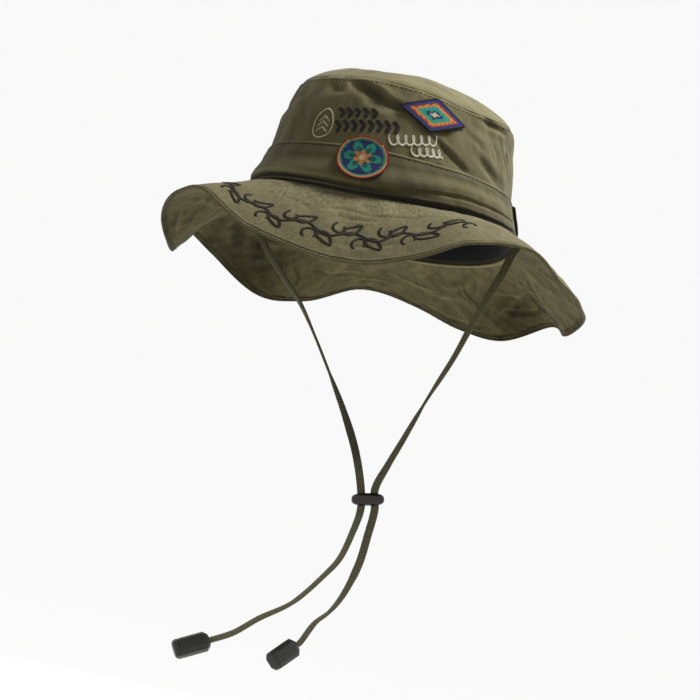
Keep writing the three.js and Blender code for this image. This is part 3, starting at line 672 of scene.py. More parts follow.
def crown_side():
    turn, along = laps(SIDE_COLUMNS)
    top = tip_seam_height(turn) - joint_height(turn) - GAP
    levels = np.linspace(0, 1, SIDE_ROWS)[:, None] * (top + BRIM_THICKNESS) - BRIM_THICKNESS
    outer = crown_skin(turn[None, :], levels)
    share = share_at(turn[None, :], levels)
    inward = -normal_of(crown_point, turn[None, :], share)
    inner = outer + inward * CROWN_THICKNESS
    inner[-1, :, 2] -= SIDE_TOP_STEP
    points = np.concatenate([outer, inner[::-1]])
    relief = crown_detail(turn[None, :], outer[..., 2])
    # painted highlights, and from the relief painted shade in the creases and painted highlight on their lips
    wear_and_painted_light = swell_field(CROWN_PAINTED_HIGHLIGHTS, turn[None, :], outer[..., 2])
    tone = np.clip(relief * 0.26, -0.6, 0.3) + wear_and_painted_light
    tone = np.concatenate([tone, np.full(tone.shape, HIDDEN_TONE)])
    pucker = swell_field(CROWN_PUCKER, turn[None, :], outer[..., 2])
    pucker = np.concatenate([pucker, 0 * pucker])
    return grid_mesh("crown_side", points, shell_uv(points, along), tone, pucker=pucker)


VENT_TURNS = {"left_front": 78, "left_back": 102, "right_front": 282, "right_back": 258}
VENT_HEIGHT, VENT_RADIUS, VENT_DEPTH = 49, 1.5, 12


def vent_cutter(turn):
    """A round bar through the crown's cloth, square to it."""
    share = share_at(turn, VENT_HEIGHT)
    normal = normal_of(crown_point, turn, share)
    place = crown_skin(turn, VENT_HEIGHT) - normal * 2
    mesh = bpy.data.meshes.new("vent")
    with edited(mesh) as work:
        bmesh.ops.create_cone(work, cap_ends=True, segments=20, radius1=VENT_RADIUS * MM,
                              radius2=VENT_RADIUS * MM, depth=VENT_DEPTH * MM)
    facing = Vector(normal).to_track_quat("Z", "Y").to_matrix().to_4x4()
    mesh.transform(Matrix.Translation(Vector(place * MM)) @ facing)
    return mesh


side_mesh = cut_by(crown_side(), [vent_cutter(turn) for turn in VENT_TURNS.values()])
finish_mesh("crown_side", side_mesh, twill, ["crown_wall"])

# %% [markdown]
# ## Crown tip
#
# The tip is an oval panel sewn to the side by a seam that turns inward, so both pieces dip
# toward it. Its rings run from that seam to the top, where they are merged to one point.

# %% Crown tip
TIP_COLUMNS, TIP_RINGS = 480, 44
# Path of (x, y), width, depth, side of the lip
TIP_CREASES = [
    ([(-52, -52), (-40, -44), (-30, -46)], 3.0, 1.2, 1),
    ([(-62, -30), (-50, -24), (-38, -28)], 3.5, 1.3, -1),
    ([(-20, -72), (-12, -60), (-14, -50)], 3.0, 1.1, 1),
    ([(10, -70), (20, -62), (34, -58)], 3.0, 0.7, -1),
    ([(48, -42), (40, -30), (42, -16)], 3.5, 0.8, 1),
    ([(-30, 10), (-10, 16), (8, 8)], 5.0, 0.8, 1),
    ([(20, 40), (36, 34), (50, 18)], 4.0, 0.9, -1),
    ([(-44, 48), (-28, 58), (-12, 60)], 4.0, 0.9, 1),
]


TIP_WAVES = [(0.28, 5, 9, 6, 20, 30)]
TIP_DIMPLES, TIP_DIMPLE_SEED = 0.3, 51
# share of the way to the top beyond which the cloth is taken as level
TIP_LEVEL = 0.97
# the inner face needs only one ring in this many
INNER_STEP = 3
# how much paler the tip is painted than the side: a painted highlight on the top
TIP_PAINTED_HIGHLIGHT = 0.38


def crown_tip():
    turn, _ = laps(TIP_COLUMNS)
    share = np.linspace(0, 1, TIP_RINGS) ** 1.25
    base = dome_point(turn[None, :], share[:, None])
    edge = crown_point(turn, 1)
    base[0, :, 2] += GAP
    normal = normal_of(dome_point, turn[None, :], np.minimum(share, TIP_LEVEL)[:, None])
    normal[share > TIP_LEVEL] = (0, 0, 1)
    walked = np.linalg.norm(base - edge[None], axis=-1)
    relief = crease_field(TIP_CREASES, base[..., 0], base[..., 1], 1.0)
    # waves round the hat would meet in a star at the top, so dimples take over before it
    fading = np.clip(1.3 - 2.2 * share, 0, 1)[:, None]
    relief = relief + fading * wave_field(TIP_WAVES, turn[None, :], walked)
    relief = relief + TIP_DIMPLES * (1 - fading) * dimples(base[..., 0], base[..., 1], TIP_DIMPLE_SEED)
    relief = near_seam(relief, walked)
    seam = -SEAM_DEPTH * mound(walked, SEAM_HALF_WIDTH)
    for x, y, reach, size in TIP_SWELLS:
        relief = relief + size * window(np.hypot(base[..., 0] - x, base[..., 1] - y) / reach, 1)
    swell = swell_field(CROWN_SWELLS, turn, tip_seam_height(turn))
    base = base + (ring_normal(turn) * swell[:, None])[None] * ((1 - share) ** 1.5)[:, None, None]
    outer = base + normal * (relief + seam)[..., None]
    keep = np.arange(0, TIP_RINGS, INNER_STEP)
    keep[-1] = TIP_RINGS - 1
    inner = (base - normal * CROWN_THICKNESS + normal * relief[..., None])[keep]
    inner[0] = outer[0] + (inner[0] - outer[0]) * 0.9
    points = np.concatenate([outer, inner[::-1]])
    flat = np.concatenate([points, points[:1]])
    flat = np.concatenate([flat, flat[:, :1]], 1)
    # painted shade in the creases, painted highlight on their lips, and the tip's painted highlight
    tone = np.clip(relief * 0.22, -0.45, 0.25) + TIP_PAINTED_HIGHLIGHT
    tone = np.concatenate([tone, np.full(tone[keep].shape, HIDDEN_TONE)])
    return grid_mesh("crown_top", points, flat[..., :2], tone, close_poles=True)


finish_mesh("crown_top", crown_tip(), twill, ["crown_tip"])

# %% [markdown]
# ## Band
#
# A strip of the same cloth, folded at its top edge and sewn down there, so that it puffs
# over the seam at its foot: the highest part is a soft ridge, with a dark tuck below it and
# a smaller roll above the brim. Its profile is a short table of knots.

# %% Band
BAND_COLUMNS, BAND_ROWS = 480, 76
# turn, height of the band's ridge above the joint in mm
BAND_RIDGE = [
    (0, 7.3), (16, 9.1), (37, 12.9), (52, 12.4), (64, 11.5), (90, 8.5), (140, 9), (200, 9.5),
    (260, 7.5), (315, 5.0), (345, 7.0),
]
# share of the way up to the ridge (0 to 1) or from it to the top (1 to 2), share of the puff
BAND_KNOTS = [
    (0, 0.0), (0.16, 0.40), (0.42, 0.10), (0.74, 0.92), (1.0, 1.0), (1.6, 0.25), (2.0, 0.0),
]
# the same at the wearer's left front, where a broad roll hangs over a deep tuck
NEAR_KNOTS = [
    (0, 0.0), (0.13, 0.02), (0.24, 0.62), (0.5, 0.74), (0.64, 0.5), (0.8, 0.95), (1.0, 1.0),
    (1.6, 0.25), (2.0, 0.0),
]
NEAR_MIDDLE, NEAR_SPAN = 62, 62
# painted highlight (above 0) and painted shade (below 0) on the band's rolls and tucks, with the
# painted shadow gap at its foot: turn, half span in degrees, height above the joint, half height
# in mm, paler or darker
BAND_PAINTED_SHADING = [
    (322, 62, 5.3, 1.6, 0.9), (322, 62, 2.9, 0.8, -0.6), (322, 62, 1.4, 0.7, 0.8),
    (322, 62, -0.2, 0.7, -0.8),
    (18, 30, 10.0, 4.5, -0.55), (66, 76, 0.4, 1.9, -2.6), (352, 24, 9.0, 5.0, -0.2),
]


def eased(knots, place):
    """Value between knots, with a soft start and end at each."""
    at = np.array([k[0] for k in knots])
    value = np.array([k[1] for k in knots])
    index = np.clip(np.searchsorted(at, place, side="right") - 1, 0, len(at) - 2)
    share = np.clip((place - at[index]) / (at[index + 1] - at[index]), 0, 1)
    share = share * share * (3 - 2 * share)
    return value[index] + (value[index + 1] - value[index]) * share


def near_share(turn):
    """1 at the wearer's left front, 0 away from it."""
    return plateau(turn, NEAR_MIDDLE, NEAR_SPAN)


def band_profile(turn, height):
    """How much of its puff the band has at a height."""
    ridge, top = around(BAND_RIDGE, 1, turn), band_top(turn)
    place = np.where(height < ridge, height / ridge, 1 + (height - ridge) / (top - ridge))
    near = near_share(turn)
    return (1 - near) * eased(BAND_KNOTS, place) + near * eased(NEAR_KNOTS, place)


def band_standoff(turn, height):
    """Distance of the band's inner face from the crown."""
    return GAP + BAND_PUFF * around(RING_FOLDS, PUFF, turn) * band_profile(turn, height)


# the band's folded edge and its row of stitches: distance below the top, half width, depth
FOLD_EDGE, FOLD_STITCHES = (0, 0.6, 0.55), (1.9, 0.6, 0.3)
# the band never comes nearer to the crown than this, in mm
BAND_LEAST = GAP + 0.4


def band_skin(turn, height):
    """Outer face of the band at a height above the joint, creases included."""
    turn, height = np.broadcast_arrays(np.asarray(turn, float), np.asarray(height, float))
    share = share_at(turn, height)
    point = crown_point(turn, share)
    edge = band_top(turn) - height
    relief = crown_detail(turn, point[..., 2]) * np.clip(edge / 5, 0.2, 0.8)
    rolled = sum(-depth * mound(edge - below, half) for below, half, depth in (FOLD_EDGE, FOLD_STITCHES))
    out = band_standoff(turn, height) + BAND_THICKNESS + relief + rolled
    point = point + normal_of(crown_point, turn, share) * np.maximum(out, BAND_LEAST)[..., None]
    return point + ring_normal(turn) * swell_field(CROWN_SWELLS, turn, point[..., 2])[..., None]


BAND_INNER_STEP, BAND_INNER_TONE = 5, -0.4


def band():
    turn, along = laps(BAND_COLUMNS)
    rows = np.linspace(0, 1, BAND_ROWS)[:, None]
    height = GAP + (band_top(turn)[None, :] - GAP) * rows
    outer = band_skin(turn[None, :], height)
    share = share_at(turn[None, :], height)
    face = crown_point(turn[None, :], share)
    normal = normal_of(crown_point, turn[None, :], share)
    standoff = band_standoff(turn[None, :], height)
    near = np.minimum(standoff, np.sum((outer - face) * normal, -1) - GAP)
    inner = (face + normal * np.maximum(near, 0.05)[..., None])[::BAND_INNER_STEP]
    points = np.concatenate([outer, inner[::-1]])
    ridge = around(BAND_RIDGE, 1, turn)[None, :]
    puff = band_profile(turn[None, :], height)
    edge = band_top(turn)[None, :] - height
    # painted shade at the foot under the puff, and a painted highlight on the puffed part
    foot = np.where(height < ridge * 0.6, 0.55, 0.0) * (1 - near_share(turn))[None, :]
    tone = np.clip(0.3 * puff, 0, 0.3) - 0.28 - foot * mound(height, 4.5)
    for middle, span, level, tall, shade in BAND_PAINTED_SHADING:
        across = window(turn_offset(turn, middle), span)[None, :]
        tone = tone + shade * across * mound(height - level, tall)
    # painted shade along the stitch groove and a painted highlight on the folded edge
    tone = tone - 0.4 * mound(edge - 2.0, 0.8) + 0.7 * mound(edge, 0.8)
    tone = np.concatenate([tone, np.full(tone[::BAND_INNER_STEP].shape, BAND_INNER_TONE)])
    return grid_mesh("band", points, shell_uv(points, along), tone)


finish_mesh("band", band(), twill, ["crown_band"])

# %% [markdown]
# ## Brim
#
# The brim is a ring of two layers of twill. The CAD model's folds give its waves, and a
# table of creases on each face gives the wrinkles: flat ones that run round the front, and
# slanting ones underneath, where the cloth turns from one wave to the next.

# %% Brim
BRIM_COLUMNS, BRIM_ROWS = 600, 72
BRIM_MM_PER_DEGREE = 2.2
# Path of (turn, distance out from the joint in mm), width, depth, side of the lip
BRIM_CREASES = [
    ([(-10, 26), (-4, 21.5), (1, 21), (6, 23)], 1.7, 0.55, 1),
    ([(2, 22), (8, 23), (15, 23.5), (25, 25.5)], 1.6, 0.5, -1),
    ([(-3, 29), (2, 29.5), (7, 28.5), (12, 26.5)], 1.5, 0.5, 1),
    ([(-2, 52), (5, 52.5), (12, 51), (19, 50)], 1.6, 0.35, 1),
    ([(-24, 24), (-16, 27), (-10, 31)], 1.8, 0.35, -1),
    ([(28, 14), (36, 20), (44, 22)], 2.4, 0.4, 1),
    ([(-40, 12), (-33, 17), (-27, 16)], 2.6, 0.5, 1),
    ([(48, 34), (56, 26), (62, 14)], 3.0, 0.7, -1),
    ([(70, 50), (76, 36), (84, 22)], 3.2, 0.8, 1),
    ([(108, 14), (117, 24), (121, 40), (128, 54)], 2.6, 1.0, 1),
    ([(100, 42), (108, 30), (112, 14)], 3.0, 0.8, -1),
    ([(131, 20), (138, 34), (150, 46)], 2.8, 0.9, 1),
    ([(150, 12), (158, 22), (168, 28)], 2.6, 0.8, -1),
    ([(160, 34), (172, 40), (186, 38)], 2.6, 0.8, 1),
    ([(186, 20), (196, 26), (208, 24)], 2.6, 0.7, -1),
    ([(206, 50), (210, 36), (215, 20)], 3.4, -1.0, 0),
    ([(224, 14), (232, 26), (244, 32)], 3.0, 0.9, 1),
    ([(238, 52), (246, 42), (252, 28)], 3.0, 0.9, -1),
    ([(262, 16), (270, 28), (276, 44)], 3.0, 0.8, 1),
    ([(286, 24), (296, 34), (301, 48)], 2.6, 0.9, -1),
    ([(303, 18), (312, 26), (322, 26)], 2.6, 0.6, 1),
]
UNDER_CREASES = [
    ([(130, 21), (133, 36), (133.5, 50), (118, 58)], 1.5, -0.9, -1),
    ([(116.5, 12), (121, 24), (127.5, 36)], 1.3, -0.8, 1),
    ([(168.5, 22), (162.5, 29), (159, 36)], 1.2, -0.6, 1),
    ([(157.5, 20), (158.5, 29), (155.5, 38)], 1.1, -0.8, -1),
    ([(171, 16), (166, 24), (160, 33)], 1.3, 0.6, 1),
    ([(177.5, 58), (169, 59), (163.5, 58), (155, 55)], 1.5, 0.6, -1),
    ([(147, 28), (139, 36), (124, 32)], 1.5, 0.5, 1),
    ([(146, 42), (139, 50), (130, 52)], 1.6, 0.55, -1),
    ([(188, 38), (177, 40), (170, 38)], 1.3, 0.5, 1),
    ([(200, 56), (191, 53), (182, 52)], 1.3, 0.45, 1),
    ([(151, 6), (149.5, 18), (154, 31)], 1.4, 0.5, -1),
    ([(101, 12), (94, 24), (87, 38), (78, 52), (71, 62)], 1.6, 0.9, 1),
    ([(212, 34), (203, 42), (194, 47)], 1.4, 0.5, -1),
    ([(222, 30), (216, 44), (214, 56)], 1.5, -0.8, 0),
    ([(282, 60), (296, 52), (300, 44)], 1.6, 0.5, 1),
    ([(286, 44), (294, 36), (304, 40)], 1.5, 0.4, -1),
]
BRIM_WAVES = [(0.22, 7, 9, 18, 44, 26), (0.07, 8, 9, 60, 120, 12)]
UNDER_WAVES = [(0.16, 41, 12, 50, 130, 7), (0.22, 42, 9, 24, 60, 14)]
# how much deeper the lower layer creases than its table says
UNDER_DEPTH = 1.5
# Painted shade and painted highlight on the underside: turn, distance out in mm, half spans of both, paler or
# darker
UNDER_PAINTED_SHADING = [
    (238, 40, 36, 60, -0.75), (292, 40, 26, 60, -0.25), (143, 50, 16, 28, -0.6),
    (127, 42, 10, 22, -0.35), (114, 24, 7, 34, 0.45), (108, 44, 10, 24, 0.15),
]
# share of the brim's width over which relief grows from nothing beside the joint
BRIM_ROOT = 0.12


def brim_swell(turn, share):
    """Broad swells of the whole brim, in mm."""
    return swell_field(BRIM_SWELLS, turn, share * BRIM_WIDTH) * np.clip(share / BRIM_ROOT, 0, 1)


def under_relief(turn, share):
    """How far the lower layer dips below its even place."""
    out = share * BRIM_WIDTH
    height = crease_field(UNDER_CREASES, turn, out, BRIM_MM_PER_DEGREE)
    height = UNDER_DEPTH * height + wave_field(UNDER_WAVES, turn, out)
    return height * np.clip(share / 0.1, 0, 1) * np.clip((1 - share) / 0.06, 0, 1)


def up_normal(turn, share):
    """Upward unit normal of the brim's top face."""
    return -normal_of(brim_point, turn, share)


def brim_relief(turn, share):
    """Creases and ripples of the brim's top face, in mm."""
    out = share * BRIM_WIDTH
    height = crease_field(BRIM_CREASES, turn, out, BRIM_MM_PER_DEGREE) + wave_field(BRIM_WAVES, turn, out)
    return height * np.clip(share / BRIM_ROOT, 0, 1) * np.clip((1 - share) / 0.09, 0.1, 1)


def brim_skin(turn, share):
    """Top face of the brim with its creases."""
    turn, share = np.broadcast_arrays(np.asarray(turn, float), np.asarray(share, float))
    lift = brim_relief(turn, share) + brim_swell(turn, share)
    return brim_point(turn, share) + up_normal(turn, share) * lift[..., None]


# mm that the brim ends short of the rim, inside its binding
RIM_INSET = 1.0
# the lower layer never comes nearer to the upper one than this, below its thickness
LEAST_WRINKLE = -0.85
# where the band's puff casts a painted shadow on the brim beside the joint: turn and half span in degrees
JOINT_SHADOW_MIDDLE, JOINT_SHADOW_SPAN = 66, 62


def brim():
    turn, along = laps(BRIM_COLUMNS)
    share = np.linspace(1 - RIM_INSET / BRIM_WIDTH, 0, BRIM_ROWS)[:, None]
    top = brim_skin(turn[None, :], share)
    wrinkles = under_relief(turn[None, :], share)
    depth = BRIM_THICKNESS + np.maximum(wrinkles, LEAST_WRINKLE)
    under = top - up_normal(turn[None, :], share) * depth[..., None]
    under[-1] = top[-1] - np.array([0, 0, BRIM_THICKNESS])
    points = np.concatenate([top, under[::-1]])
    relief = brim_relief(turn[None, :], share)
    # painted shade in the brim's creases and painted highlight on their lips
    tone = np.clip(relief * 0.3, -0.4, 0.25) + 0.06
    out = share * BRIM_WIDTH + 0 * turn[None, :]
    joint_shadow = plateau(turn, JOINT_SHADOW_MIDDLE, JOINT_SHADOW_SPAN)[None, :]
    # painted shadow on the brim's top beside the joint, wider and darker where the puff overhangs most
    tone_top = tone - (0.95 + 0.75 * joint_shadow) * np.exp(-((out / (1.9 + 1.3 * joint_shadow)) ** 4))
    # painted shade in the underside's wrinkles and beside the top's creases, then the underside's painted
    # shading
    tone_under = np.clip(0.1 - 0.5 * wrinkles - 0.3 * relief, -0.6, 0.6)
    tone_under = tone_under + swell_field(UNDER_PAINTED_SHADING, turn[None, :], out)
    pucker = 0.4 * window(out - 12, 26) + 0.25
    pucker = np.concatenate([pucker, np.full(pucker.shape, 0.2)])
    tone = np.concatenate([tone_top, tone_under[::-1]])
    return grid_mesh("brim_cloth", points, shell_uv(points, along), tone, pucker=pucker)


finish_mesh("brim_cloth", brim(), twill, ["brim"])

# %% [markdown]
# ## Bound rim, sweatband and joint seam
#
# A narrow strip is folded over the brim's edge and sewn through, so the rim is a little
# thicker than the brim, with painted shade in its stitched groove and underneath and a
# painted highlight on its rolled edge. Inside the head opening a black sweatband covers the
# crown's raw edge, and under the joint the cloth's folded edge shows as a thin roll. Each is
# a small closed profile carried once round the hat.

# %% Bound rim
RIM_COLUMNS = 600
# distance outward from the rim and height above the brim's top face, in mm, round the
# strip's section: over the top, round the edge and back underneath, then inside the fold
# and the tone painted there: painted shade in the stitched groove and on the underside, and a
# painted highlight on the rolled edge
RIM_SECTION = [
    (-3.7, 0.08, 0.0), (-3.4, 0.2, 0.05), (-2.6, 0.28, 0.05), (-2.0, 0.22, -0.5),
    (-1.5, -0.02, -1.0), (-1.15, 0.22, -0.8), (-0.7, 0.55, 0.35), (-0.1, 0.45, 0.5),
    (0.3, -0.05, 0.45), (0.42, -0.6, 0.3), (0.3, -1.1, 0.0), (-0.1, -1.6, -0.4),
    (-0.7, -1.75, -0.5), (-1.3, -1.45, -0.7), (-2.0, -1.6, -0.5), (-2.9, -1.6, -0.35),
    (-3.5, -1.5, -0.2), (-3.7, -1.28, -0.1), (-2.4, -1.24, 0), (-1.0, -1.2, 0), (-0.8, -0.6, 0),
    (-1.0, -0.1, 0), (-2.4, -0.02, 0),
]
# fine puckers between the stitches, on the outermost parts of the section alone
RIM_PUCKERS, RIM_FADING = [(0.06, 21, 5, 150, 200, 10)], [(0.12, 22, 6, 30, 90, 10)]
PUCKER_ABOVE, PUCKER_BELOW = 0.3, -1.4


def rim_strip():
    turn, along = laps(RIM_COLUMNS)
    pucker = wave_field(RIM_PUCKERS, turn, 0)
    rows = []
    for out, height, _ in RIM_SECTION[::-1]:
        share = 1 + out / BRIM_WIDTH
        inside = min(share, 1.0)
        base = brim_skin(turn, inside) + (brim_point(turn, share) - brim_point(turn, inside))
        puckered = height > PUCKER_ABOVE or height < PUCKER_BELOW
        lift = height + (pucker if puckered else 0 * pucker)
        rows.append(base + up_normal(turn, share) * lift[:, None])
    points = np.stack(rows)
    tones = np.array([tone for _, _, tone in RIM_SECTION[::-1]])
    tone = tones[:, None] + wave_field(RIM_FADING, turn[None, :], 0)
    return grid_mesh("rim_binding", points, shell_uv(points, along), tone)


binding_cloth = twill_material(
    "binding_tape_folded_cotton", linear("#2b2718"), linear("#7a7454"), linear("#a9a27e"))
finish_mesh("rim_binding", rim_strip(), binding_cloth, ["brim_binding"])

# %% Sweatband
SWEATBAND_LIFT, SWEATBAND_HEIGHT = 1.0, 27
SWEATBAND_ROOM, SWEATBAND_THICKNESS = 0.45, 1.3
SWEATBAND_COLUMNS, SWEATBAND_ROWS = 360, 28
SWEATBAND_WAVES = [(0.22, 31, 8, 40, 110, 60)]
# width over which its edges round off, and how far up from its foot it is sewn, in mm
EDGE_ROUND, SEWN_AT = 0.7, 2.2


def sweatband():
    turn, along = laps(SWEATBAND_COLUMNS)
    rows = np.linspace(0, 1, SWEATBAND_ROWS)[:, None]
    height = SWEATBAND_LIFT + SWEATBAND_HEIGHT * rows
    share = share_at(turn[None, :], height)
    face = crown_point(turn[None, :], share)
    normal = normal_of(crown_point, turn[None, :], share)
    foot, top = rows * SWEATBAND_HEIGHT, (1 - rows) * SWEATBAND_HEIGHT
    rounded = 0.5 * (mound(foot, EDGE_ROUND) + mound(top, EDGE_ROUND))
    sewn = 0.25 * mound(foot - SEWN_AT, EDGE_ROUND)
    depth = CROWN_THICKNESS + SWEATBAND_ROOM
    outer = face - normal * depth
    pucker = wave_field(SWEATBAND_WAVES, turn[None, :], height) * np.clip(rows * 4, 0, 1)
    inner = face - normal * (depth + SWEATBAND_THICKNESS - rounded - sewn + pucker)[..., None]
    points = np.concatenate([outer, inner[::-1]])
    return grid_mesh("inner_sweatband", points, shell_uv(points, along), np.zeros((1, 1)))


def black_cloth(name, colour, pale, rib_mm, sheen):
    """Black woven tape: fine cross ribs and a soft bloom of lint."""
    material, tree, shader = new_material(name, roughness=0.8, sheen=sheen, specular=0.35)
    uv = add(tree, "ShaderNodeUVMap", uv_map="cloth_mm").outputs[0]
    ribs = add(tree, "ShaderNodeTexWave", {
        "Vector": uv, "Scale": BANDS_PER_MM / rib_mm, "Distortion": 0.4},
        wave_type="BANDS", bands_direction="X")
    lint = add(tree, "ShaderNodeTexNoise", {"Vector": uv, "Scale": 0.35, "Detail": 4.0})
    bloom = calculate(tree, "MULTIPLY", lint.outputs[0], 0.8)
    amount = calculate(tree, "MULTIPLY", ribs.outputs[1], bloom)
    tree.links.new(mixed(tree, amount, linear(colour), linear(pale)), shader.inputs["Base Color"])
    roughen(tree, shader, ribs.outputs[1], strength=0.5, depth_mm=0.25)
    return material


sweatband_cloth = black_cloth("sweatband_black_ribbed_tape", "#08070a", "#121014", 0.8, 0.0)
finish_mesh("inner_sweatband", sweatband(), sweatband_cloth, ["sweatband"])

# %% Joint seam
JOINT_COLUMNS, JOINT_SECTION_STEPS = 480, 10
JOINT_HALF_WIDTH, JOINT_HALF_HEIGHT = 2.4, 0.8
# place of the roll's middle: outward from the joint, and below the brim, in mm
JOINT_OUT, JOINT_BELOW = 0.2, 0.55
JOINT_FADING = [(0.1, 33, 6, 40, 90, 10)]


def joint_seam():
    turn, along = laps(JOINT_COLUMNS)
    normal = ring_normal(turn)
    middle = crown_point(turn, 0) + normal * JOINT_OUT
    middle[:, 2] -= BRIM_THICKNESS + JOINT_BELOW
    angle = 2 * math.pi * np.arange(JOINT_SECTION_STEPS)[:, None] / JOINT_SECTION_STEPS
    points = middle + normal * (JOINT_HALF_WIDTH * np.cos(angle))[..., None]
    points[..., 2] += JOINT_HALF_HEIGHT * np.sin(angle)
    # the half that faces into the opening, where little light reaches, is painted pale: painted light
    tone = np.where(np.cos(angle) < 0.4, 1.0, 0.3) + wave_field(JOINT_FADING, turn[None, :], 0)
    return grid_mesh("joint_seam", points, shell_uv(points, along), tone)


finish_mesh("joint_seam", joint_seam(), twill, [])

# %% [markdown]
# ## Webbing loop
#
# A short black webbing strip is sewn to the band at both ends and bows off it between
# them, on the wearer's left only.

# %% Webbing loop
LOOP_TURN, LOOP_FOOT, LOOP_WIDTH, LOOP_HEIGHT = 102, 5, 16, 21
LOOP_THICKNESS, LOOP_BOW, LOOP_REACH = 1.2, 1.6, 1.8
LOOP_ROWS, LOOP_COLUMNS = 48, 24


def band_cover(turn, height):
    """Distance off the crown at which a stiff piece lies on crown and band."""
    cover = np.zeros(np.broadcast(turn, height).shape)
    for step in (-1, -0.5, 0, 0.5, 1):
        level = height + LOOP_REACH * step
        on_band = level <= band_top(turn)
        lies = band_standoff(turn, np.clip(level, GAP, None)) + BAND_THICKNESS
        cover = np.where(on_band, np.maximum(cover, lies), cover)
    return cover


def cloth_place(middle, along, rise):
    """Turn and height of a point in mm along and up the cloth from (turn, height)."""
    turn, height = middle
    share = share_at(turn, height)
    one_degree = np.linalg.norm(crown_point(turn + 0.5, share) - crown_point(turn - 0.5, share))
    tenth = np.linalg.norm(crown_point(turn, share + 0.05) - crown_point(turn, share - 0.05))
    per_mm = (tip_seam_height(turn) - joint_height(turn)) * 0.1 / tenth
    return turn + along / one_degree, height + rise * per_mm


def strip_mesh(name, rings, tone=None):
    """Capped tube from rings (rows, columns, 3) in mm, with a UV map in mm."""
    rows, columns = rings.shape[:2]
    row, column = np.meshgrid(np.arange(rows - 1), np.arange(columns), indexing="ij")
    beside = (column + 1) % columns
    corners = [(row, column), (row, beside), (row + 1, beside), (row + 1, column)]
    faces = np.stack([(r * columns + c).ravel() for r, c in corners], 1).tolist()
    points = rings.reshape(-1, 3)
    ends = np.stack([rings[0].mean(0), rings[-1].mean(0)])
    base, last = len(points), (rows - 1) * columns
    fans = [(base, (c + 1) % columns, c) for c in range(columns)]
    fans += [(base + 1, last + c, last + (c + 1) % columns) for c in range(columns)]
    mesh = bpy.data.meshes.new(name)
    mesh.from_pydata((np.concatenate([points, ends]) * MM).tolist(), [], faces + fans)
    around_mm = walked_along(np.concatenate([rings[0], rings[0][:1]]))
    walked = walked_along(rings.mean(1))
    spots = [(row, column), (row, column + 1), (row + 1, column + 1), (row + 1, column)]
    flat = np.stack([np.stack([around_mm[c].ravel(), walked[r].ravel()], -1) for r, c in spots], 1)
    layer = mesh.uv_layers.new(name="cloth_mm")
    values = np.zeros((len(mesh.loops), 2), np.float32)
    values[: flat.size // 2] = flat.reshape(-1, 2)
    layer.data.foreach_set("uv", values.ravel())
    level = np.zeros(len(points) + len(ends), np.float32)
    if tone is not None:
        level[: len(points)] = tone.ravel()
    mesh.attributes.new("tone", "FLOAT", "POINT").data.foreach_set("value", level)
    mesh.polygons.foreach_set("use_smooth", np.arange(len(mesh.polygons)) < len(faces))
    with edited(mesh) as work:
        if work.calc_volume(signed=True) < 0:
            bmesh.ops.reverse_faces(work, faces=work.faces)
    mesh.update()
    return mesh


def webbing_loop():
    rise = LOOP_HEIGHT * (np.linspace(0, 1, LOOP_ROWS) - 0.5)
    half = LOOP_WIDTH / 2
    side = np.linspace(-half, half, LOOP_COLUMNS)
    bow = LOOP_BOW * np.sin(np.pi * np.linspace(0, 1, LOOP_ROWS)) ** 0.7
    middle = (LOOP_TURN, LOOP_FOOT + LOOP_HEIGHT / 2)
    rings = []
    for level, out in zip(rise, bow):
        turn, height = cloth_place(middle, side, level)
        share = share_at(turn, height)
        base = crown_point(turn, share)
        normal = normal_of(crown_point, turn, share)
        rest = (band_cover(turn, height) + GAP + 0.2 + out)[:, None]
        outer, inner = base + normal * (rest + LOOP_THICKNESS), base + normal * rest
        rings.append(np.concatenate([outer, inner[::-1]]))
    return strip_mesh("webbing_loop", np.stack(rings))


webbing = black_cloth("webbing_black_polyester", "#0b0b0b", "#262626", 1.5, 0.1)
finish_mesh("webbing_loop", webbing_loop(), webbing, ["side_loop"])

# %% [markdown]
# ## Chin cord
#
# One flat braid hangs as two halves from the seam at each ear, through the slide, to a
# moulded end. The photograph shows it from end to end, so its routes are the real length,
# with nothing put away. Each route is a smooth curve through listed points, and the
# braid is a flat tube along it, with the plaits as relief and the slight twists that make
# it look narrower in places.

# %% Cord routes
CORD_WIDTH, CORD_THICKNESS, CORD_SPACING = 5.2, 1.8, 9
TOGGLE_CENTRE, TOGGLE_TILT = np.array([25.5, 0, -175.5]), math.radians(11)
TOGGLE_HEIGHT, TOGGLE_LENGTH, TOGGLE_DEPTH = 8, 21, 8.5
TOGGLE_ACROSS = np.array([math.cos(TOGGLE_TILT), 0, math.sin(TOGGLE_TILT)])
TOGGLE_DOWN = np.array([math.sin(TOGGLE_TILT), 0, -math.cos(TOGGLE_TILT)])
CORDS = {
    "right": {
        "turn": 270,
        "drop": [(-80, 0, -20), (-59, 1, -45), (-45, 1, -59), (-30, 1, -79.5), (-14.5, 1, -103),
                 (-0.5, 0, -125), (11.5, 0, -147.5)],
        "tail": [(20, 0, -199), (15.5, 0, -216), (9, -1, -227), (-8, -2, -249), (-27, -2, -263),
                 (-41, -2, -275)],
        "neck": (-55.5, -2, -283), "axis": (-19.3, -8.3, -10.6), "roll": 20,
    },
    "left": {
        "turn": 90,
        "drop": [(80.5, 0, -18), (73.5, 0, -37.5), (67.5, 1, -55), (61, 1, -76), (49, 1, -107),
                 (39, 0, -136.5), (33.5, 0, -152)],
        "tail": [(30, 1, -198), (28, 2, -217), (21.5, 4, -238.5), (15, 5.5, -250), (7.5, 6, -258.5)],
        "neck": (-1, 0, -275.5), "axis": (-8.7, -17.8, -12.6), "roll": -15,
    },
}
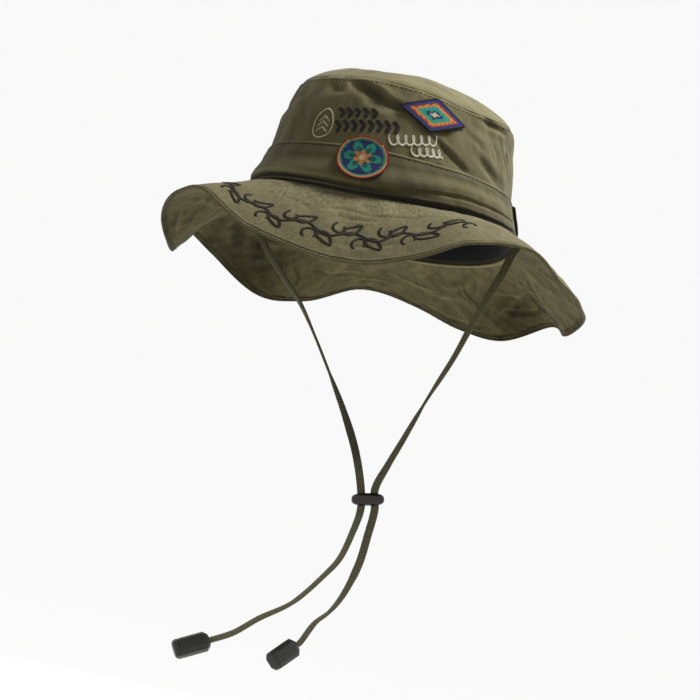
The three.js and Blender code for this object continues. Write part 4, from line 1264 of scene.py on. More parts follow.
# depth in mm below the joint, twist of the flat side away from the camera in degrees
CORD_TWISTS = {
    "right": [(20, 30), (45, 46), (70, 70), (84, 88), (98, 88), (107, 62), (115, 45), (125, 32), (135, 5),
              (176, 0), (188, 20), (200, 30), (214, 35), (228, 48), (245, 50), (250, 58), (262, 45), (276, 40)],
    "left": [(0, 5), (37, 12), (68, 40), (85, 46), (93, 52), (101, 66), (110, 75), (118, 55), (127, 45),
             (136, 38), (150, 30), (162, 12), (176, 0), (222, 0), (228, 27), (238, 38), (245, 50),
             (250, 62), (256, 57), (262, 38)],
}
# depth in mm below the joint, and how much paler the braid is painted there: painted light
# and shade where its twists turn toward the light and away from it
CORD_PAINTED_LIGHT = {
    "right": [(20, -0.25), (84, -0.1), (98, 0.0), (105, -0.5), (148, -0.45), (160, -0.2), (180, -0.25),
              (190, 0.05), (205, 0.15), (225, 0.35), (300, 0.35)],
    "left": [(10, -0.2), (45, 0.1), (68, 0.2), (93, 0.25), (100, 0.0), (109, -0.3), (118, -0.1), (150, -0.1),
             (180, -0.15), (215, 0.0), (235, 0.1), (245, 0.3), (300, 0.3)],
}


def unit(vector):
    """The vector at length 1."""
    vector = np.asarray(vector, float)
    return vector / np.linalg.norm(vector, axis=-1, keepdims=True)


def smooth_curve(points, steps=24):
    """Centripetal Catmull-Rom curve through points, as the CAD model draws its cords."""
    points = np.asarray(points, float)
    points = np.concatenate([[2 * points[0] - points[1]], points, [2 * points[-1] - points[-2]]])
    curve = []
    for a, b, c, d in zip(points[:-3], points[1:-2], points[2:-1], points[3:]):
        first, middle, last = (np.linalg.norm(q - p) ** 0.5 for p, q in ((a, b), (b, c), (c, d)))
        leaving = ((b - a) / first - (c - a) / (first + middle) + (c - b) / middle) * middle
        arriving = ((c - b) / middle - (d - b) / (middle + last) + (d - c) / last) * middle
        t = np.linspace(0, 1, steps, endpoint=False)[:, None]
        curve.append(b + leaving * t + (-3 * b + 3 * c - 2 * leaving - arriving) * t**2
                     + (2 * b - 2 * c + leaving + arriving) * t**3)
    curve.append(points[-2:-1])
    return np.concatenate(curve)


def evenly(curve, spacing):
    """The same curve with points evenly spaced along it, and the distance of each."""
    walked = walked_along(curve)
    count = max(2, int(round(walked[-1] / spacing)) + 1)
    at = np.linspace(0, walked[-1], count)
    return np.stack([np.interp(at, walked, curve[:, k]) for k in range(3)], 1), at


# share of the brim's width at which the cords start, and how far past the slide's middle
# their straight run through it reaches, in heights of the slide
CORD_ROOT, THROUGH_REACH = 0.05, 0.8


def cord_route(side):
    """Points that a cord runs through, from the brim to its end's neck."""
    cord = CORDS[side]
    across = -CORD_SPACING / 2 if side == "right" else CORD_SPACING / 2
    down = normal_of(brim_point, cord["turn"], CORD_ROOT)
    root = brim_point(cord["turn"], CORD_ROOT) + down * (BRIM_THICKNESS + 2 * GAP)
    slot = TOGGLE_CENTRE + TOGGLE_ACROSS * across
    through = [slot + TOGGLE_DOWN * TOGGLE_HEIGHT * share for share in (-THROUGH_REACH, THROUGH_REACH)]
    axis = unit(cord["axis"])
    neck = np.array(cord["neck"], float)
    return [root, root + down * CORD_WIDTH, *cord["drop"], *through, *cord["tail"],
            neck - axis * CORD_WIDTH, neck - axis * GAP]


# %% Braid
CORD_STEP, CORD_CORNERS = 0.36, 22
PLAIT_MM, PLAIT_DEPTH, PLAITS_ROUND = 1.9, 0.16, 8


def plait(around_mm, along_mm):
    """Relief of a flat braid: two families of strands that pass over and under."""
    first, second = (along_mm + around_mm) / PLAIT_MM, (along_mm - around_mm) / PLAIT_MM
    over = (np.floor(first) + np.floor(second)) % 2 < 0.5
    near = np.where(over, first % 1, second % 1) - 0.5
    far = np.where(over, second % 1, first % 1) - 0.5
    return np.cos(np.pi * near) * (0.6 + 0.4 * np.cos(np.pi * far))


def rounded_box(angle, half_width, half_depth, width_power, depth_power):
    """x and y of an oval's edge; it is squarer the nearer the powers are to 0."""
    across, deep = np.cos(angle), np.sin(angle)
    return (half_width * np.sign(across) * np.abs(across) ** width_power,
            half_depth * np.sign(deep) * np.abs(deep) ** depth_power)


def braided_cord(side):
    """A cord's mesh, its middle line and its length."""
    line, walked = evenly(smooth_curve(cord_route(side)), CORD_STEP)
    tangent = unit(np.gradient(line, axis=0))
    angle = np.radians(np.interp(-line[:, 2], *zip(*CORD_TWISTS[side])))[:, None]
    wear_and_painted_light = np.interp(-line[:, 2], *zip(*CORD_PAINTED_LIGHT[side]))[:, None]
    flat = unit(np.cross(tangent, np.array([0, 1.0, 0])))
    deep = np.cross(tangent, flat)
    width = flat * np.cos(angle) + deep * np.sin(angle)
    depth = np.cross(tangent, width)
    turn = 2 * np.pi * np.arange(CORD_CORNERS) / CORD_CORNERS
    x, y = rounded_box(turn, CORD_WIDTH / 2, CORD_THICKNESS / 2, 0.8, 0.7)
    perimeter = np.concatenate([[0], np.cumsum(np.hypot(np.diff(x), np.diff(y)))])
    around_mm = perimeter[None, :] * PLAITS_ROUND * PLAIT_MM / (perimeter[-1] * 1.05)
    relief = plait(around_mm, walked[:, None])
    grow = 1 + PLAIT_DEPTH * (relief - 0.8)
    across, through = (x * grow)[..., None], (y * grow)[..., None]
    rings = line[:, None] + width[:, None] * across + depth[:, None] * through
    # painted shade between the plaits, and the cord's painted light and shade along its twists
    tone = (relief - 0.75) * 0.6 + wear_and_painted_light
    return strip_mesh(f"chin_cord_{side}", rings, tone=tone), line, walked[-1]


def cord_material():
    """Flat polyester braid dyed to match the cloth."""
    material, tree, shader = new_material("braid_polyester_olive", roughness=0.7, sheen=0.1, specular=0.35)
    # the tone attribute carries painted shade between the plaits and painted light along the twists
    tone = add(tree, "ShaderNodeAttribute", attribute_name="tone").outputs["Fac"]
    place = add(tree, "ShaderNodeTexCoord").outputs["Object"]
    flecks = add(tree, "ShaderNodeTexNoise", {"Vector": place, "Scale": 900.0, "Detail": 2.0})
    level = calculate(tree, "MULTIPLY_ADD", flecks.outputs[0], 0.5, calculate(tree, "ADD", tone, -0.2))
    shaded = calculate(tree, "MULTIPLY", level, -1.6)
    colour = mixed(tree, shaded, linear("#979678"), linear("#3a392d"))
    colour = mixed(tree, level, colour, linear("#cfceb6"))
    tree.links.new(colour, shader.inputs["Base Color"])
    roughen(tree, shader, flecks.outputs[0], strength=0.3, depth_mm=0.1)
    return material


braid = cord_material()
cord_pieces = {}
for side in CORDS:
    mesh, line, length = braided_cord(side)
    piece = finish_mesh(f"chin_cord_{side}", mesh, braid, [f"cord_{side}"])
    cord_pieces[side] = (piece, line, length)
    print(side, "cord", round(length), "mm")

# %% [markdown]
# ## Slide and cord ends
#
# The slide is a glossy moulded oval with two slots. Each cord end is a moulded clip with
# broad flat facets, a tapered neck where the braid goes in, and a parting line round its
# far end where its cap snaps shut.

# %% Slide
TOGGLE_CORNERS, TOGGLE_RINGS, TOGGLE_STEEPEST = 56, 21, math.radians(80)
SLOT_CORNERS, SLOT_HALF_WIDTH, SLOT_HALF_DEPTH = 24, 3.0, 1.5
SHARP_EDGE = math.radians(35)
# power that makes the slide's rounding fuller than a circle's
TOGGLE_FULLNESS = 2 / 3


def ring_at(outline, level):
    """A ring of points (x, y) at a level."""
    return np.column_stack([outline, np.full(len(outline), level)])


def toggle_mesh():
    angle = 2 * np.pi * np.arange(TOGGLE_CORNERS) / TOGGLE_CORNERS
    outline = np.stack(rounded_box(angle, TOGGLE_LENGTH / 2, TOGGLE_DEPTH / 2, 0.9, 0.9), 1)
    rings = []
    for bend in np.linspace(-TOGGLE_STEEPEST, TOGGLE_STEEPEST, TOGGLE_RINGS):
        level = TOGGLE_HEIGHT / 2 * math.copysign(abs(math.sin(bend)) ** TOGGLE_FULLNESS, bend)
        rings.append(ring_at(outline * math.cos(bend) ** TOGGLE_FULLNESS, level))
    body = strip_mesh("slide", np.stack(rings))
    slots = []
    for side in (-1, 1):
        corner = np.linspace(0, 2 * np.pi, SLOT_CORNERS, endpoint=False)
        slot = np.stack(rounded_box(corner, SLOT_HALF_WIDTH, SLOT_HALF_DEPTH, 0.4, 0.5), 1)
        slot[:, 0] += side * CORD_SPACING / 2
        rings = [ring_at(slot, level) for level in (-TOGGLE_HEIGHT, TOGGLE_HEIGHT)]
        slots.append(strip_mesh("slot", np.stack(rings)))
    mesh = cut_by(body, slots)
    turned = Matrix.Rotation(-TOGGLE_TILT, 4, "Y")
    mesh.transform(Matrix.Translation(Vector(TOGGLE_CENTRE * MM)) @ turned)
    smooth_all(mesh)
    mesh.set_sharp_from_angle(angle=SHARP_EDGE)
    return mesh


def moulded(name, colour, wear_and_painted_light, roughness, grain_mm, grain_depth):
    """Moulded black plastic: fine grain from the mould and slightly dulled patches."""
    material, tree, shader = new_material(name, roughness=roughness)
    place = add(tree, "ShaderNodeTexCoord").outputs["Object"]
    grain = add(tree, "ShaderNodeTexNoise", {"Vector": place, "Scale": 1000 / grain_mm, "Detail": 2.0})
    patches = add(tree, "ShaderNodeTexNoise", {"Vector": place, "Scale": 180.0, "Detail": 2.0})
    dulled = mixed(tree, patches.outputs[0], linear(colour), linear(wear_and_painted_light))
    tree.links.new(dulled, shader.inputs["Base Color"])
    roughen(tree, shader, grain.outputs[0], strength=0.4, depth_mm=grain_depth)
    return material


toggle_rubber = moulded("slide_moulded_gloss_black", "#0c0c0c", "#1a1a1a", 0.28, 1.2, 0.02)
toggle_piece = finish_mesh("cord_slide", toggle_mesh(), toggle_rubber, ["toggle"])

# %% Cord ends
END_WIDTH, END_DEPTH = 12.5, 9.0
# edges steeper than this are rounded with this bevel, and shade as sharp past this angle
END_BEVEL_FROM, END_BEVEL, END_SHARP = 0.35, 0.35, math.radians(30)
# distance along the clip, share of its width and depth, and corner chamfer in mm
END_SECTIONS = [
    (0.0, 0.56, 0.66, 1.2), (0.5, 0.64, 0.72, 1.3), (2.8, 1.0, 1.0, 2.3), (3.2, 1.0, 1.0, 2.4),
    (18.6, 1.0, 1.0, 2.4), (18.9, 0.965, 0.955, 2.3), (19.2, 0.965, 0.955, 2.3), (19.5, 1.0, 1.0, 2.4),
    (21.4, 0.99, 0.99, 2.4), (22.8, 0.9, 0.88, 2.3), (23.5, 0.76, 0.72, 2.0),
]


def cord_end(side):
    cord = CORDS[side]
    axis = unit(cord["axis"])
    deep = unit(np.array([0, 1, 0]) - axis * axis[1])
    roll = Matrix.Rotation(math.radians(cord["roll"]), 3, Vector(axis))
    deep = np.array(roll @ Vector(deep))
    wide = np.cross(deep, axis)
    rings = []
    for at, width, depth, chamfer in END_SECTIONS:
        x, y = END_WIDTH * width / 2, END_DEPTH * depth / 2
        corners = [(x, y - chamfer), (x - chamfer, y), (chamfer - x, y), (-x, y - chamfer),
                   (-x, chamfer - y), (chamfer - x, -y), (x - chamfer, -y), (x, chamfer - y)]
        centre = np.array(cord["neck"]) + axis * at
        rings.append([centre + wide * a + deep * b for a, b in corners])
    mesh = strip_mesh(f"cord_clip_{side}", np.array(rings))
    with edited(mesh) as work:
        edges = [e for e in work.edges if e.is_manifold and e.calc_face_angle() > END_BEVEL_FROM]
        bmesh.ops.bevel(work, geom=edges, offset=END_BEVEL * MM, segments=3, profile=0.6,
                        affect="EDGES", clamp_overlap=True)
    smooth_all(mesh)
    mesh.set_sharp_from_angle(angle=END_SHARP)
    return mesh


end_plastic = moulded("clip_moulded_matte_black", "#1d1d1f", "#2b2b2c", 0.42, 0.6, 0.008)
for side, (piece, line, length) in cord_pieces.items():
    clip = finish_mesh(f"cord_clip_{side}", cord_end(side), end_plastic, [f"cord_end_{side}"])

# %% [markdown]
# ## Threads
#
# Embroidery and stitching are threads laid side by side, so one Geometry Nodes tree makes
# them all. Its input is a mesh of loose points, each with the direction its thread runs,
# the way the cloth faces, the thread's length, width and height, and a colour. The tree
# puts a small rounded thread at each point, turned to fit, and realizes the copies.

# %% Thread tree
def thread_tree():
    tree = bpy.data.node_groups.new("lay_threads", "GeometryNodeTree")
    face = tree.interface
    face.new_socket("Points", in_out="INPUT", socket_type="NodeSocketGeometry")
    face.new_socket("Sides", in_out="INPUT", socket_type="NodeSocketInt")
    face.new_socket("Rings", in_out="INPUT", socket_type="NodeSocketInt")
    face.new_socket("Thread", in_out="INPUT", socket_type="NodeSocketMaterial")
    face.new_socket("Threads", in_out="OUTPUT", socket_type="NodeSocketGeometry")
    source = add(tree, "NodeGroupInput")

    def named(name, kind):
        return add(tree, "GeometryNodeInputNamedAttribute", {"Name": name}, data_type=kind).outputs["Attribute"]

    ball = add(tree, "GeometryNodeMeshUVSphere", {
        "Segments": source.outputs["Sides"], "Rings": source.outputs["Rings"], "Radius": 0.5})
    turn = add(tree, "FunctionNodeAxesToRotation", {
        "Primary Axis": named("facing", "FLOAT_VECTOR"), "Secondary Axis": named("running", "FLOAT_VECTOR")},
        primary_axis="Z", secondary_axis="X")
    laid = add(tree, "GeometryNodeInstanceOnPoints", {
        "Points": source.outputs["Points"], "Instance": ball.outputs["Mesh"],
        "Rotation": turn.outputs[0], "Scale": named("size", "FLOAT_VECTOR")})
    real = add(tree, "GeometryNodeRealizeInstances", {"Geometry": laid.outputs[0]})
    smooth = add(tree, "GeometryNodeSetShadeSmooth", {"Geometry": real.outputs[0]})
    coloured = add(tree, "GeometryNodeSetMaterial", {
        "Geometry": smooth.outputs[0], "Material": source.outputs["Thread"]})
    add(tree, "NodeGroupOutput", {"Threads": coloured.outputs[0]})
    return tree


THREAD_TREE = thread_tree()


def lay_threads(name, threads, material, sides=6, rings=4):
    """Makes one piece of many threads. threads is a list of (place, running, facing, size,
    colour) arrays in mm; colour is linear."""
    place, running, facing, size, colour = (np.concatenate(parts) for parts in zip(*threads))
    cloud = bpy.data.meshes.new(name)
    cloud.from_pydata((place * MM).tolist(), [], [])
    for key, values in (("running", running), ("facing", facing), ("size", size * MM)):
        layer = cloud.attributes.new(key, "FLOAT_VECTOR", "POINT")
        layer.data.foreach_set("vector", values.astype(np.float32).ravel())
    layer = cloud.attributes.new("thread_colour", "FLOAT_COLOR", "POINT")
    opaque = np.column_stack([colour, np.ones(len(colour))])
    layer.data.foreach_set("color", opaque.astype(np.float32).ravel())
    holder = new_object(name, cloud)
    modifier = holder.modifiers.new("threads", "NODES")
    modifier.node_group = THREAD_TREE
    sockets = {s.name: s.identifier for s in THREAD_TREE.interface.items_tree if s.in_out == "INPUT"}
    modifier[sockets["Sides"]] = sides
    modifier[sockets["Rings"]] = rings
    modifier[sockets["Thread"]] = material
    mesh = evaluated_mesh(holder)
    bpy.data.objects.remove(holder)
    mesh.name = name
    print(name, len(place), "threads")
    return finish_mesh(name, mesh, material, [])


def twisted_material(name, roughness, sheen):
    """Twisted thread with a soft shine; also gives the noise that stands for its twist."""
    material, tree, shader = new_material(name, roughness=roughness, sheen=sheen, specular=0.25)
    place = add(tree, "ShaderNodeTexCoord").outputs["Object"]
    twist = add(tree, "ShaderNodeTexNoise", {"Vector": place, "Scale": 1500.0, "Detail": 1.0})
    roughen(tree, shader, twist.outputs[0], strength=0.4, depth_mm=0.1)
    return material, tree, shader, twist.outputs[0]


def thread_material(name, roughness, sheen):
    """Thread that is coloured by its own attribute."""
    material, tree, shader, twist = twisted_material(name, roughness, sheen)
    colour = add(tree, "ShaderNodeAttribute", attribute_name="thread_colour").outputs["Color"]
    shade = calculate(tree, "MULTIPLY_ADD", twist, 0.5, 0.75)
    tree.links.new(dimmed(tree, colour, shade), shader.inputs["Base Color"])
    return material


rayon = thread_material("embroidery_thread_rayon", 0.55, 0.0)
cotton_thread = thread_material("sewing_thread_polyester", 0.65, 0.1)


# %% Hosts for threads
def crown_host(turn, height):
    """Point and facing on crown or band, whichever is outermost, at a height above the joint."""
    turn, height = np.asarray(turn, float), np.asarray(height, float)
    on_band = height <= band_top(turn)
    on_crown = crown_skin(turn, height)
    point = np.where(on_band[..., None], band_skin(turn, np.maximum(height, 0.4)), on_crown)
    return point, normal_of(crown_point, turn, share_at(turn, height))


def crown_host_at_z(turn, level):
    """The same, with the height given as a level above the row's origin."""
    return crown_host(turn, level - joint_height(np.asarray(turn, float)))


def brim_host(turn, out):
    """Point and facing on the brim's top face, at a distance out from the joint."""
    share = np.asarray(out, float) / BRIM_WIDTH
    turn = np.asarray(turn, float)
    return brim_skin(turn, share), up_normal(turn, share)


# mm ahead and behind that a thread's direction is measured over
LOOK_AHEAD = 0.2


def on_host(host, path, pitch, closed=False):
    """Evenly spaced places along a path of (turn, level) on a host, with directions."""
    path = np.array(path, float)
    if closed:
        path = np.concatenate([path, path[:1]])
    steps = np.linspace(0, len(path) - 1, 40 * (len(path) - 1) + 1)
    dense = np.stack([np.interp(steps, np.arange(len(path)), path[:, k]) for k in (0, 1)], 1)
    point, _ = host(dense[:, 0], dense[:, 1])
    walked = walked_along(point)
    count = max(2, int(round(walked[-1] / pitch)))
    at = (np.arange(count) + 0.5) * walked[-1] / count

    def place(distance):
        return host(*(np.interp(distance, walked, dense[:, k]) for k in (0, 1)))

    point, facing = place(at)
    running = unit(place(at + LOOK_AHEAD)[0] - place(at - LOOK_AHEAD)[0] + 1e-9)
    return point, running, facing, at / walked[-1]


def tinted(colour, count):
    """The same linear colour for each of a number of threads."""
    return np.tile(colour[:3], (count, 1))


def satin(host, path, width, colour, pitch=0.42, rise=0.25, closed=False, slant=0.35):
    """Satin stitch: threads laid across a path, each as long as the stroke is wide."""
    point, running, facing, place = on_host(host, path, pitch, closed)
    across = unit(np.cross(facing, running)) + slant * running
    width = np.atleast_1d(width)
    stroke = np.interp(place, np.linspace(0, 1, len(width)), width)
    size = np.stack([stroke, np.full(len(stroke), pitch * 1.5), np.full(len(stroke), 0.55)], 1)
    return point + facing * rise, unit(across), facing, size, tinted(colour, len(point))


def running_stitch(host, path, colour, pitch=3.1, length=2.3, width=0.42, sunk=0.05, closed=False):
    """Top-stitching: threads that run along a path with small gaps."""
    point, running, facing, _ = on_host(host, path, pitch, closed)
    size = np.tile([length, width, width], (len(point), 1))
    return point + facing * (width / 2 - sunk), running, facing, size, tinted(colour, len(point))

# %% [markdown]
# ## Top-stitching
#
# Seams on cotton hats are sewn flat with rows of visible stitches a few millimetres long.
# Each row follows its seam at a fixed distance, and lies in the groove that it pulls.

# %% Top-stitching
SEAM_THREAD, RIM_THREAD = linear("#3a3522"), linear("#2c2817")
STITCH_TURNS = np.linspace(0, 360, 181)
# mm from the band's top, the tip seam and the rim to the row of stitches beside each
BELOW_BAND_TOP, BELOW_TIP_SEAM, INSIDE_RIM = 2.0, 2.6, 1.5


def stitch_rows():
    tip_seam = tip_seam_height(STITCH_TURNS) - joint_height(STITCH_TURNS)
    on_band = np.stack([STITCH_TURNS, band_top(STITCH_TURNS) - BELOW_BAND_TOP], 1)
    on_crown = np.stack([STITCH_TURNS, tip_seam - BELOW_TIP_SEAM], 1)
    on_rim = np.stack([STITCH_TURNS, np.full(len(STITCH_TURNS), BRIM_WIDTH - INSIDE_RIM)], 1)
    return [
        running_stitch(crown_host, on_band, SEAM_THREAD, pitch=3.5, length=2.2, width=0.5),
        running_stitch(crown_host, on_crown, SEAM_THREAD),
        running_stitch(brim_host, on_rim, RIM_THREAD, pitch=2.9, length=2.2, width=0.4),
    ]


lay_threads("top_stitching", stitch_rows(), cotton_thread)

# %% [markdown]
# ## Embroidery on crown and brim
#
# Plain ornament in satin stitch: a pale oval ring with three chevrons, two rows of black
# chevrons, a pale looping flourish, and a dark vine that runs along the front of the brim.
# Each stroke is a path on the cloth, and the threads lie across it.

# %% Crown embroidery
PALE_THREAD, BLACK_THREAD, DARK_THREAD = linear("#fffbf0"), linear("#060606"), linear("#1f190c")


def oval_badge():
    x, y, half_turn, half_height = -24.9, 41.2, 5.2, 9.8
    ring = [(x + half_turn * math.sin(a) * (1 - 0.18 * math.cos(a)), y + half_height * math.cos(a))
            for a in np.linspace(0, 2 * math.pi, 41)[:-1]]
    threads = [satin(crown_host_at_z, ring, 1.15, PALE_THREAD, closed=True)]
    for step in (-4.2, -0.6, 3.0):
        chevron = [(x - 2.6, y + step - 1.6), (x + 0.2, y + step + 1.5), (x + 3.0, y + step - 1.6)]
        threads.append(satin(crown_host_at_z, chevron, 1.5, linear("#dedad0")))
    return threads


def chevron_rows():
    threads = []
    rows = [((-18.6, 51.9), (-17.0, 45.9), (1.5, 54.6), (2.4, 48.6), 5),
            ((-18.6, 43.4), (-16.8, 36.0), (12.6, 49.0), (13.4, 41.6), 8)]
    for *corners, count in rows:
        top_left, low_left, top_right, low_right = (np.array(corner) for corner in corners)
        along_top, along_foot = top_right - top_left, low_right - low_left
        for index in range(count):
            start, end = index / count, (index + 0.5) / count
            top, low = top_left + along_top * start, low_left + along_foot * start
            tip = (top_left + along_top * end + low_left + along_foot * end) / 2
            threads.append(satin(crown_host_at_z, [top, tip, low], 3.0, BLACK_THREAD))
    return threads


# start, end, half height of the loops in mm, number of loops
FLOURISHES = [((8.0, 35.6), (28.6, 42.4), 3.2, 6), ((18.5, 31.4), (32.4, 35.6), 2.6, 4.5)]


def flourish():
    threads = []
    for start, end, height, loops in FLOURISHES:
        start, end = np.array(start), np.array(end)
        sweep = np.linspace(0, 2 * math.pi * loops, int(28 * loops))
        path = start + (end - start) * (sweep / sweep[-1])[:, None]
        swing, rise = np.sin(sweep), height * np.cos(sweep)
        path = path + np.stack([-1.15 * swing - 0.1 * rise, rise], 1)
        width = 1.05 + 0.75 * np.abs(np.sin(sweep / 2))
        threads.append(satin(crown_host_at_z, path, width, PALE_THREAD, pitch=0.4))
    return threads


lay_threads("crown_embroidery", oval_badge() + chevron_rows() + flourish(), rayon)

# %% Brim ornament
# turn, distance out from the joint and half height of the vine in mm
VINE_LINE = [
    (-37, 46, 7), (-27, 48, 8), (-16, 46.5, 9.5), (-3, 45, 11), (9, 44.5, 11), (20, 43.5, 9.5),
    (34, 42, 6),
]
VINE_UNITS = 11


def vine_place(share, up):
    """(turn, out) at a share of the vine's length, up in half heights toward the crown."""
    table = np.array(VINE_LINE, float)
    at = np.linspace(0, 1, len(table))
    turn, out, half = (np.interp(share, at, table[:, k]) for k in range(3))
    return np.stack([turn, out - half * up], -1)


def vine():
    threads = []
    share = np.linspace(0, 1, 160)
    swing = np.sin(math.pi * VINE_UNITS * share)
    threads.append(satin(brim_host, vine_place(share, 0.3 * swing), 2.5, DARK_THREAD, slant=0.6))
    for unit_index in range(VINE_UNITS):
        side = 1 if unit_index % 2 == 0 else -1
        start = (unit_index + 0.15) / VINE_UNITS
        reach = 0.8 / VINE_UNITS
        leaf = np.linspace(0, 2 * math.pi, 30)[:-1]
        length = (1 - np.cos(leaf)) / 2
        bulge = np.sin(leaf) * (0.55 + 0.25 * np.cos(leaf))
        x = start + reach * (0.75 * length + 0.42 * bulge)
        y = side * (0.12 + 0.84 * length - 0.22 * bulge)
        threads.append(satin(brim_host, vine_place(x, y), 2.4, DARK_THREAD, closed=True, slant=0.6))
        curl = np.linspace(0, 1.55 * math.pi, 24)
        radius = 0.42 - 0.05 * curl
        x = start + reach * (0.95 + 1.15 * radius * np.cos(curl + 2.2))
        y = -side * (0.46 + 1.25 * radius * np.sin(curl + 2.2))
        threads.append(satin(brim_host, vine_place(x, y), 2.2, DARK_THREAD, slant=0.6))
    return threads


lay_threads("brim_ornament", vine(), rayon)

# %% [markdown]
# ## Patches
#
# Both patches are embroidered all over and edged with an overlocked border. The designs
# are plain geometry: a rosette on the round one, nested bands on the diamond. A patch is a
# closed pad of backing twill, the fill stitched in staggered rows, and the border threads
# that wrap its edge.

# %% Patches
ROUND_PLACE, ROUND_RADIUS = (-1.5, 21.9), 15.5
DIAMOND_PLACE, DIAMOND_HALF, DIAMOND_TILT = (26.3, 58.6), (23.75, 13.0), math.radians(-8)
PATCH_THICKNESS, PATCH_ROOM = 1.4, 0.5
# mm that the patches' threads sink into the pad
THREAD_SUNK = 0.1


def patch_host(place, tilt=0.0):
    """Host for threads on a patch: x and y in mm from its centre, on its top face."""
    def host(x, y, depth=PATCH_THICKNESS):
        x, y = np.asarray(x, float), np.asarray(y, float)
        along = x * math.cos(tilt) - y * math.sin(tilt)
        rise = x * math.sin(tilt) + y * math.cos(tilt)
        turn, height = cloth_place(place, along, rise)
        share = share_at(turn, height)
        normal = normal_of(crown_point, turn, share)
        rest = band_cover(turn, height) + PATCH_ROOM + depth
        return crown_point(turn, share) + normal * rest[..., None], normal
    return host


PAD_COLUMNS, PAD_RINGS = 96, 14
# the pad lies this far below the threads' level, in mm
PAD_SUNK = 0.25
# rounded edge of the pad: share of the radius, height in mm
PAD_EDGE = [(1.0, 0.5), (1.0, 1.0), (0.985, 1.25)]


def patch_pad(name, host, radius_at):
    """Closed pad whose outline has a radius in mm at each angle."""
    columns = PAD_COLUMNS
    angle = 2 * np.pi * np.arange(columns) / columns
    edge = np.stack([radius_at(angle) * np.cos(angle), radius_at(angle) * np.sin(angle)], -1)
    face = [(share, PATCH_THICKNESS - PAD_SUNK) for share in np.linspace(0.95, 0, PAD_RINGS)]
    back = [(share, 0.0) for share in np.linspace(0, 0.97, PAD_RINGS // 2)]
    rows = [host(edge[:, 0] * share, edge[:, 1] * share, depth)[0] for share, depth in PAD_EDGE + face + back]
    points = np.stack(rows)
    uv = np.zeros((len(rows) + 1, columns + 1, 2))
    uv[..., 0] = np.arange(columns + 1)[None, :]
    uv[..., 1] = np.arange(len(rows) + 1)[:, None]
    return grid_mesh(name, points, uv, np.zeros((1, 1)), close_poles=True)


def painted(ground, layers):
    """Colour of each stitch: the ground, and each (where, colour) laid over it in turn."""
    colour = tinted(linear(ground), len(layers[0][0]))
    for where, hex_colour in layers:
        colour[where] = linear(hex_colour)[:3]
    return colour


def round_design(x, y):
    """Rosette of six petals round a star."""
    radius, angle = np.hypot(x, y), np.arctan2(y, x)
    petal = 10.2 * np.abs(np.cos(3 * angle)) ** 0.55 + 1.2
    star = 2.6 + 3.0 * np.abs(np.cos(3 * angle + np.pi / 2)) ** 1.5
    return painted("#26387c", [
        (radius > 12.4, "#3fb3a6"), (radius < petal, "#2fb8a4"), (radius < petal - 3.2, "#1c6f74"),
        (radius < star, "#f0a566"), (radius < 1.6, "#fff3d6"),
    ])


def diamond_level(x, y):
    """0 at the middle of the diamond and 1 on its outline."""
    return np.abs(x) / DIAMOND_HALF[0] + np.abs(y) / DIAMOND_HALF[1]


def diamond_design(x, y):
    """Nested diamonds, some with a zigzag edge."""
    level = diamond_level(x, y)
    zigzag = level + 0.07 * (np.abs(((x - np.sign(y) * y * 0.4) / 3.2) % 1 - 0.5) * 4 - 1)
    return painted("#2c3c96", [
        (level < 0.72, "#cf4a30"), (zigzag < 0.63, "#ffae4a"), (level < 0.50, "#2bc4b4"),
        (zigzag < 0.26, "#24387c"), (level < 0.12, "#fff3d6"),
    ])


def fill_stitches(host, inside, design, reach, spacing=1.35, pitch=0.5):
    """Staggered rows of stitches that fill a patch."""
    rows = np.arange(-reach[1], reach[1], pitch)
    places = []
    for index, y in enumerate(rows):
        x = np.arange(-reach[0], reach[0], spacing) + spacing * (index % 3) / 3
        places.append(np.stack([x, np.full(len(x), y)], 1))
    places = np.concatenate(places)
    places = places[inside(places[:, 0], places[:, 1])]
    x, y = places.T
    point, facing = host(x, y)
    ahead, _ = host(x + 0.3, y)
    size = np.tile([spacing * 1.5, pitch * 1.35, 0.5], (len(x), 1))
    return point - facing * THREAD_SUNK, unit(ahead - point), facing, size, design(x, y)


def border(host, outline, width, colour, pitch=0.42, height=0.9):
    """Overlocked edge: threads laid across an outline, side by side."""
    point, running, facing, _ = on_host(host, outline, pitch, closed=True)
    across = unit(np.cross(facing, running)) + 0.12 * running
    size = np.tile([width, pitch * 1.5, height], (len(point), 1))
    return point - facing * THREAD_SUNK, unit(across), facing, size, tinted(colour, len(point))


def circle(radius, corners=72):
    angles = np.linspace(0, 2 * math.pi, corners + 1)[:-1]
    return [(radius * math.cos(a), radius * math.sin(a)) for a in angles]


def diamond(share):
    """Outline of the diamond at a share of its size."""
    a, b = DIAMOND_HALF[0] * share, DIAMOND_HALF[1] * share
    corners = [(a, 0), (0, b), (-a, 0), (0, -b)]
    path = []
    for (x, y), (nx, ny) in zip(corners, corners[1:] + corners[:1]):
        path += [(x + (nx - x) * s, y + (ny - y) * s) for s in (0.03, 0.2, 0.4, 0.6, 0.8, 0.97)]
    return path


# the backing is plain dark twill, so its colour is set on the shader itself
backing, _, backing_shader, _ = twisted_material("patch_backing_twill", 0.8, 0.05)
backing_shader.inputs["Base Color"].default_value = linear("#14152a")

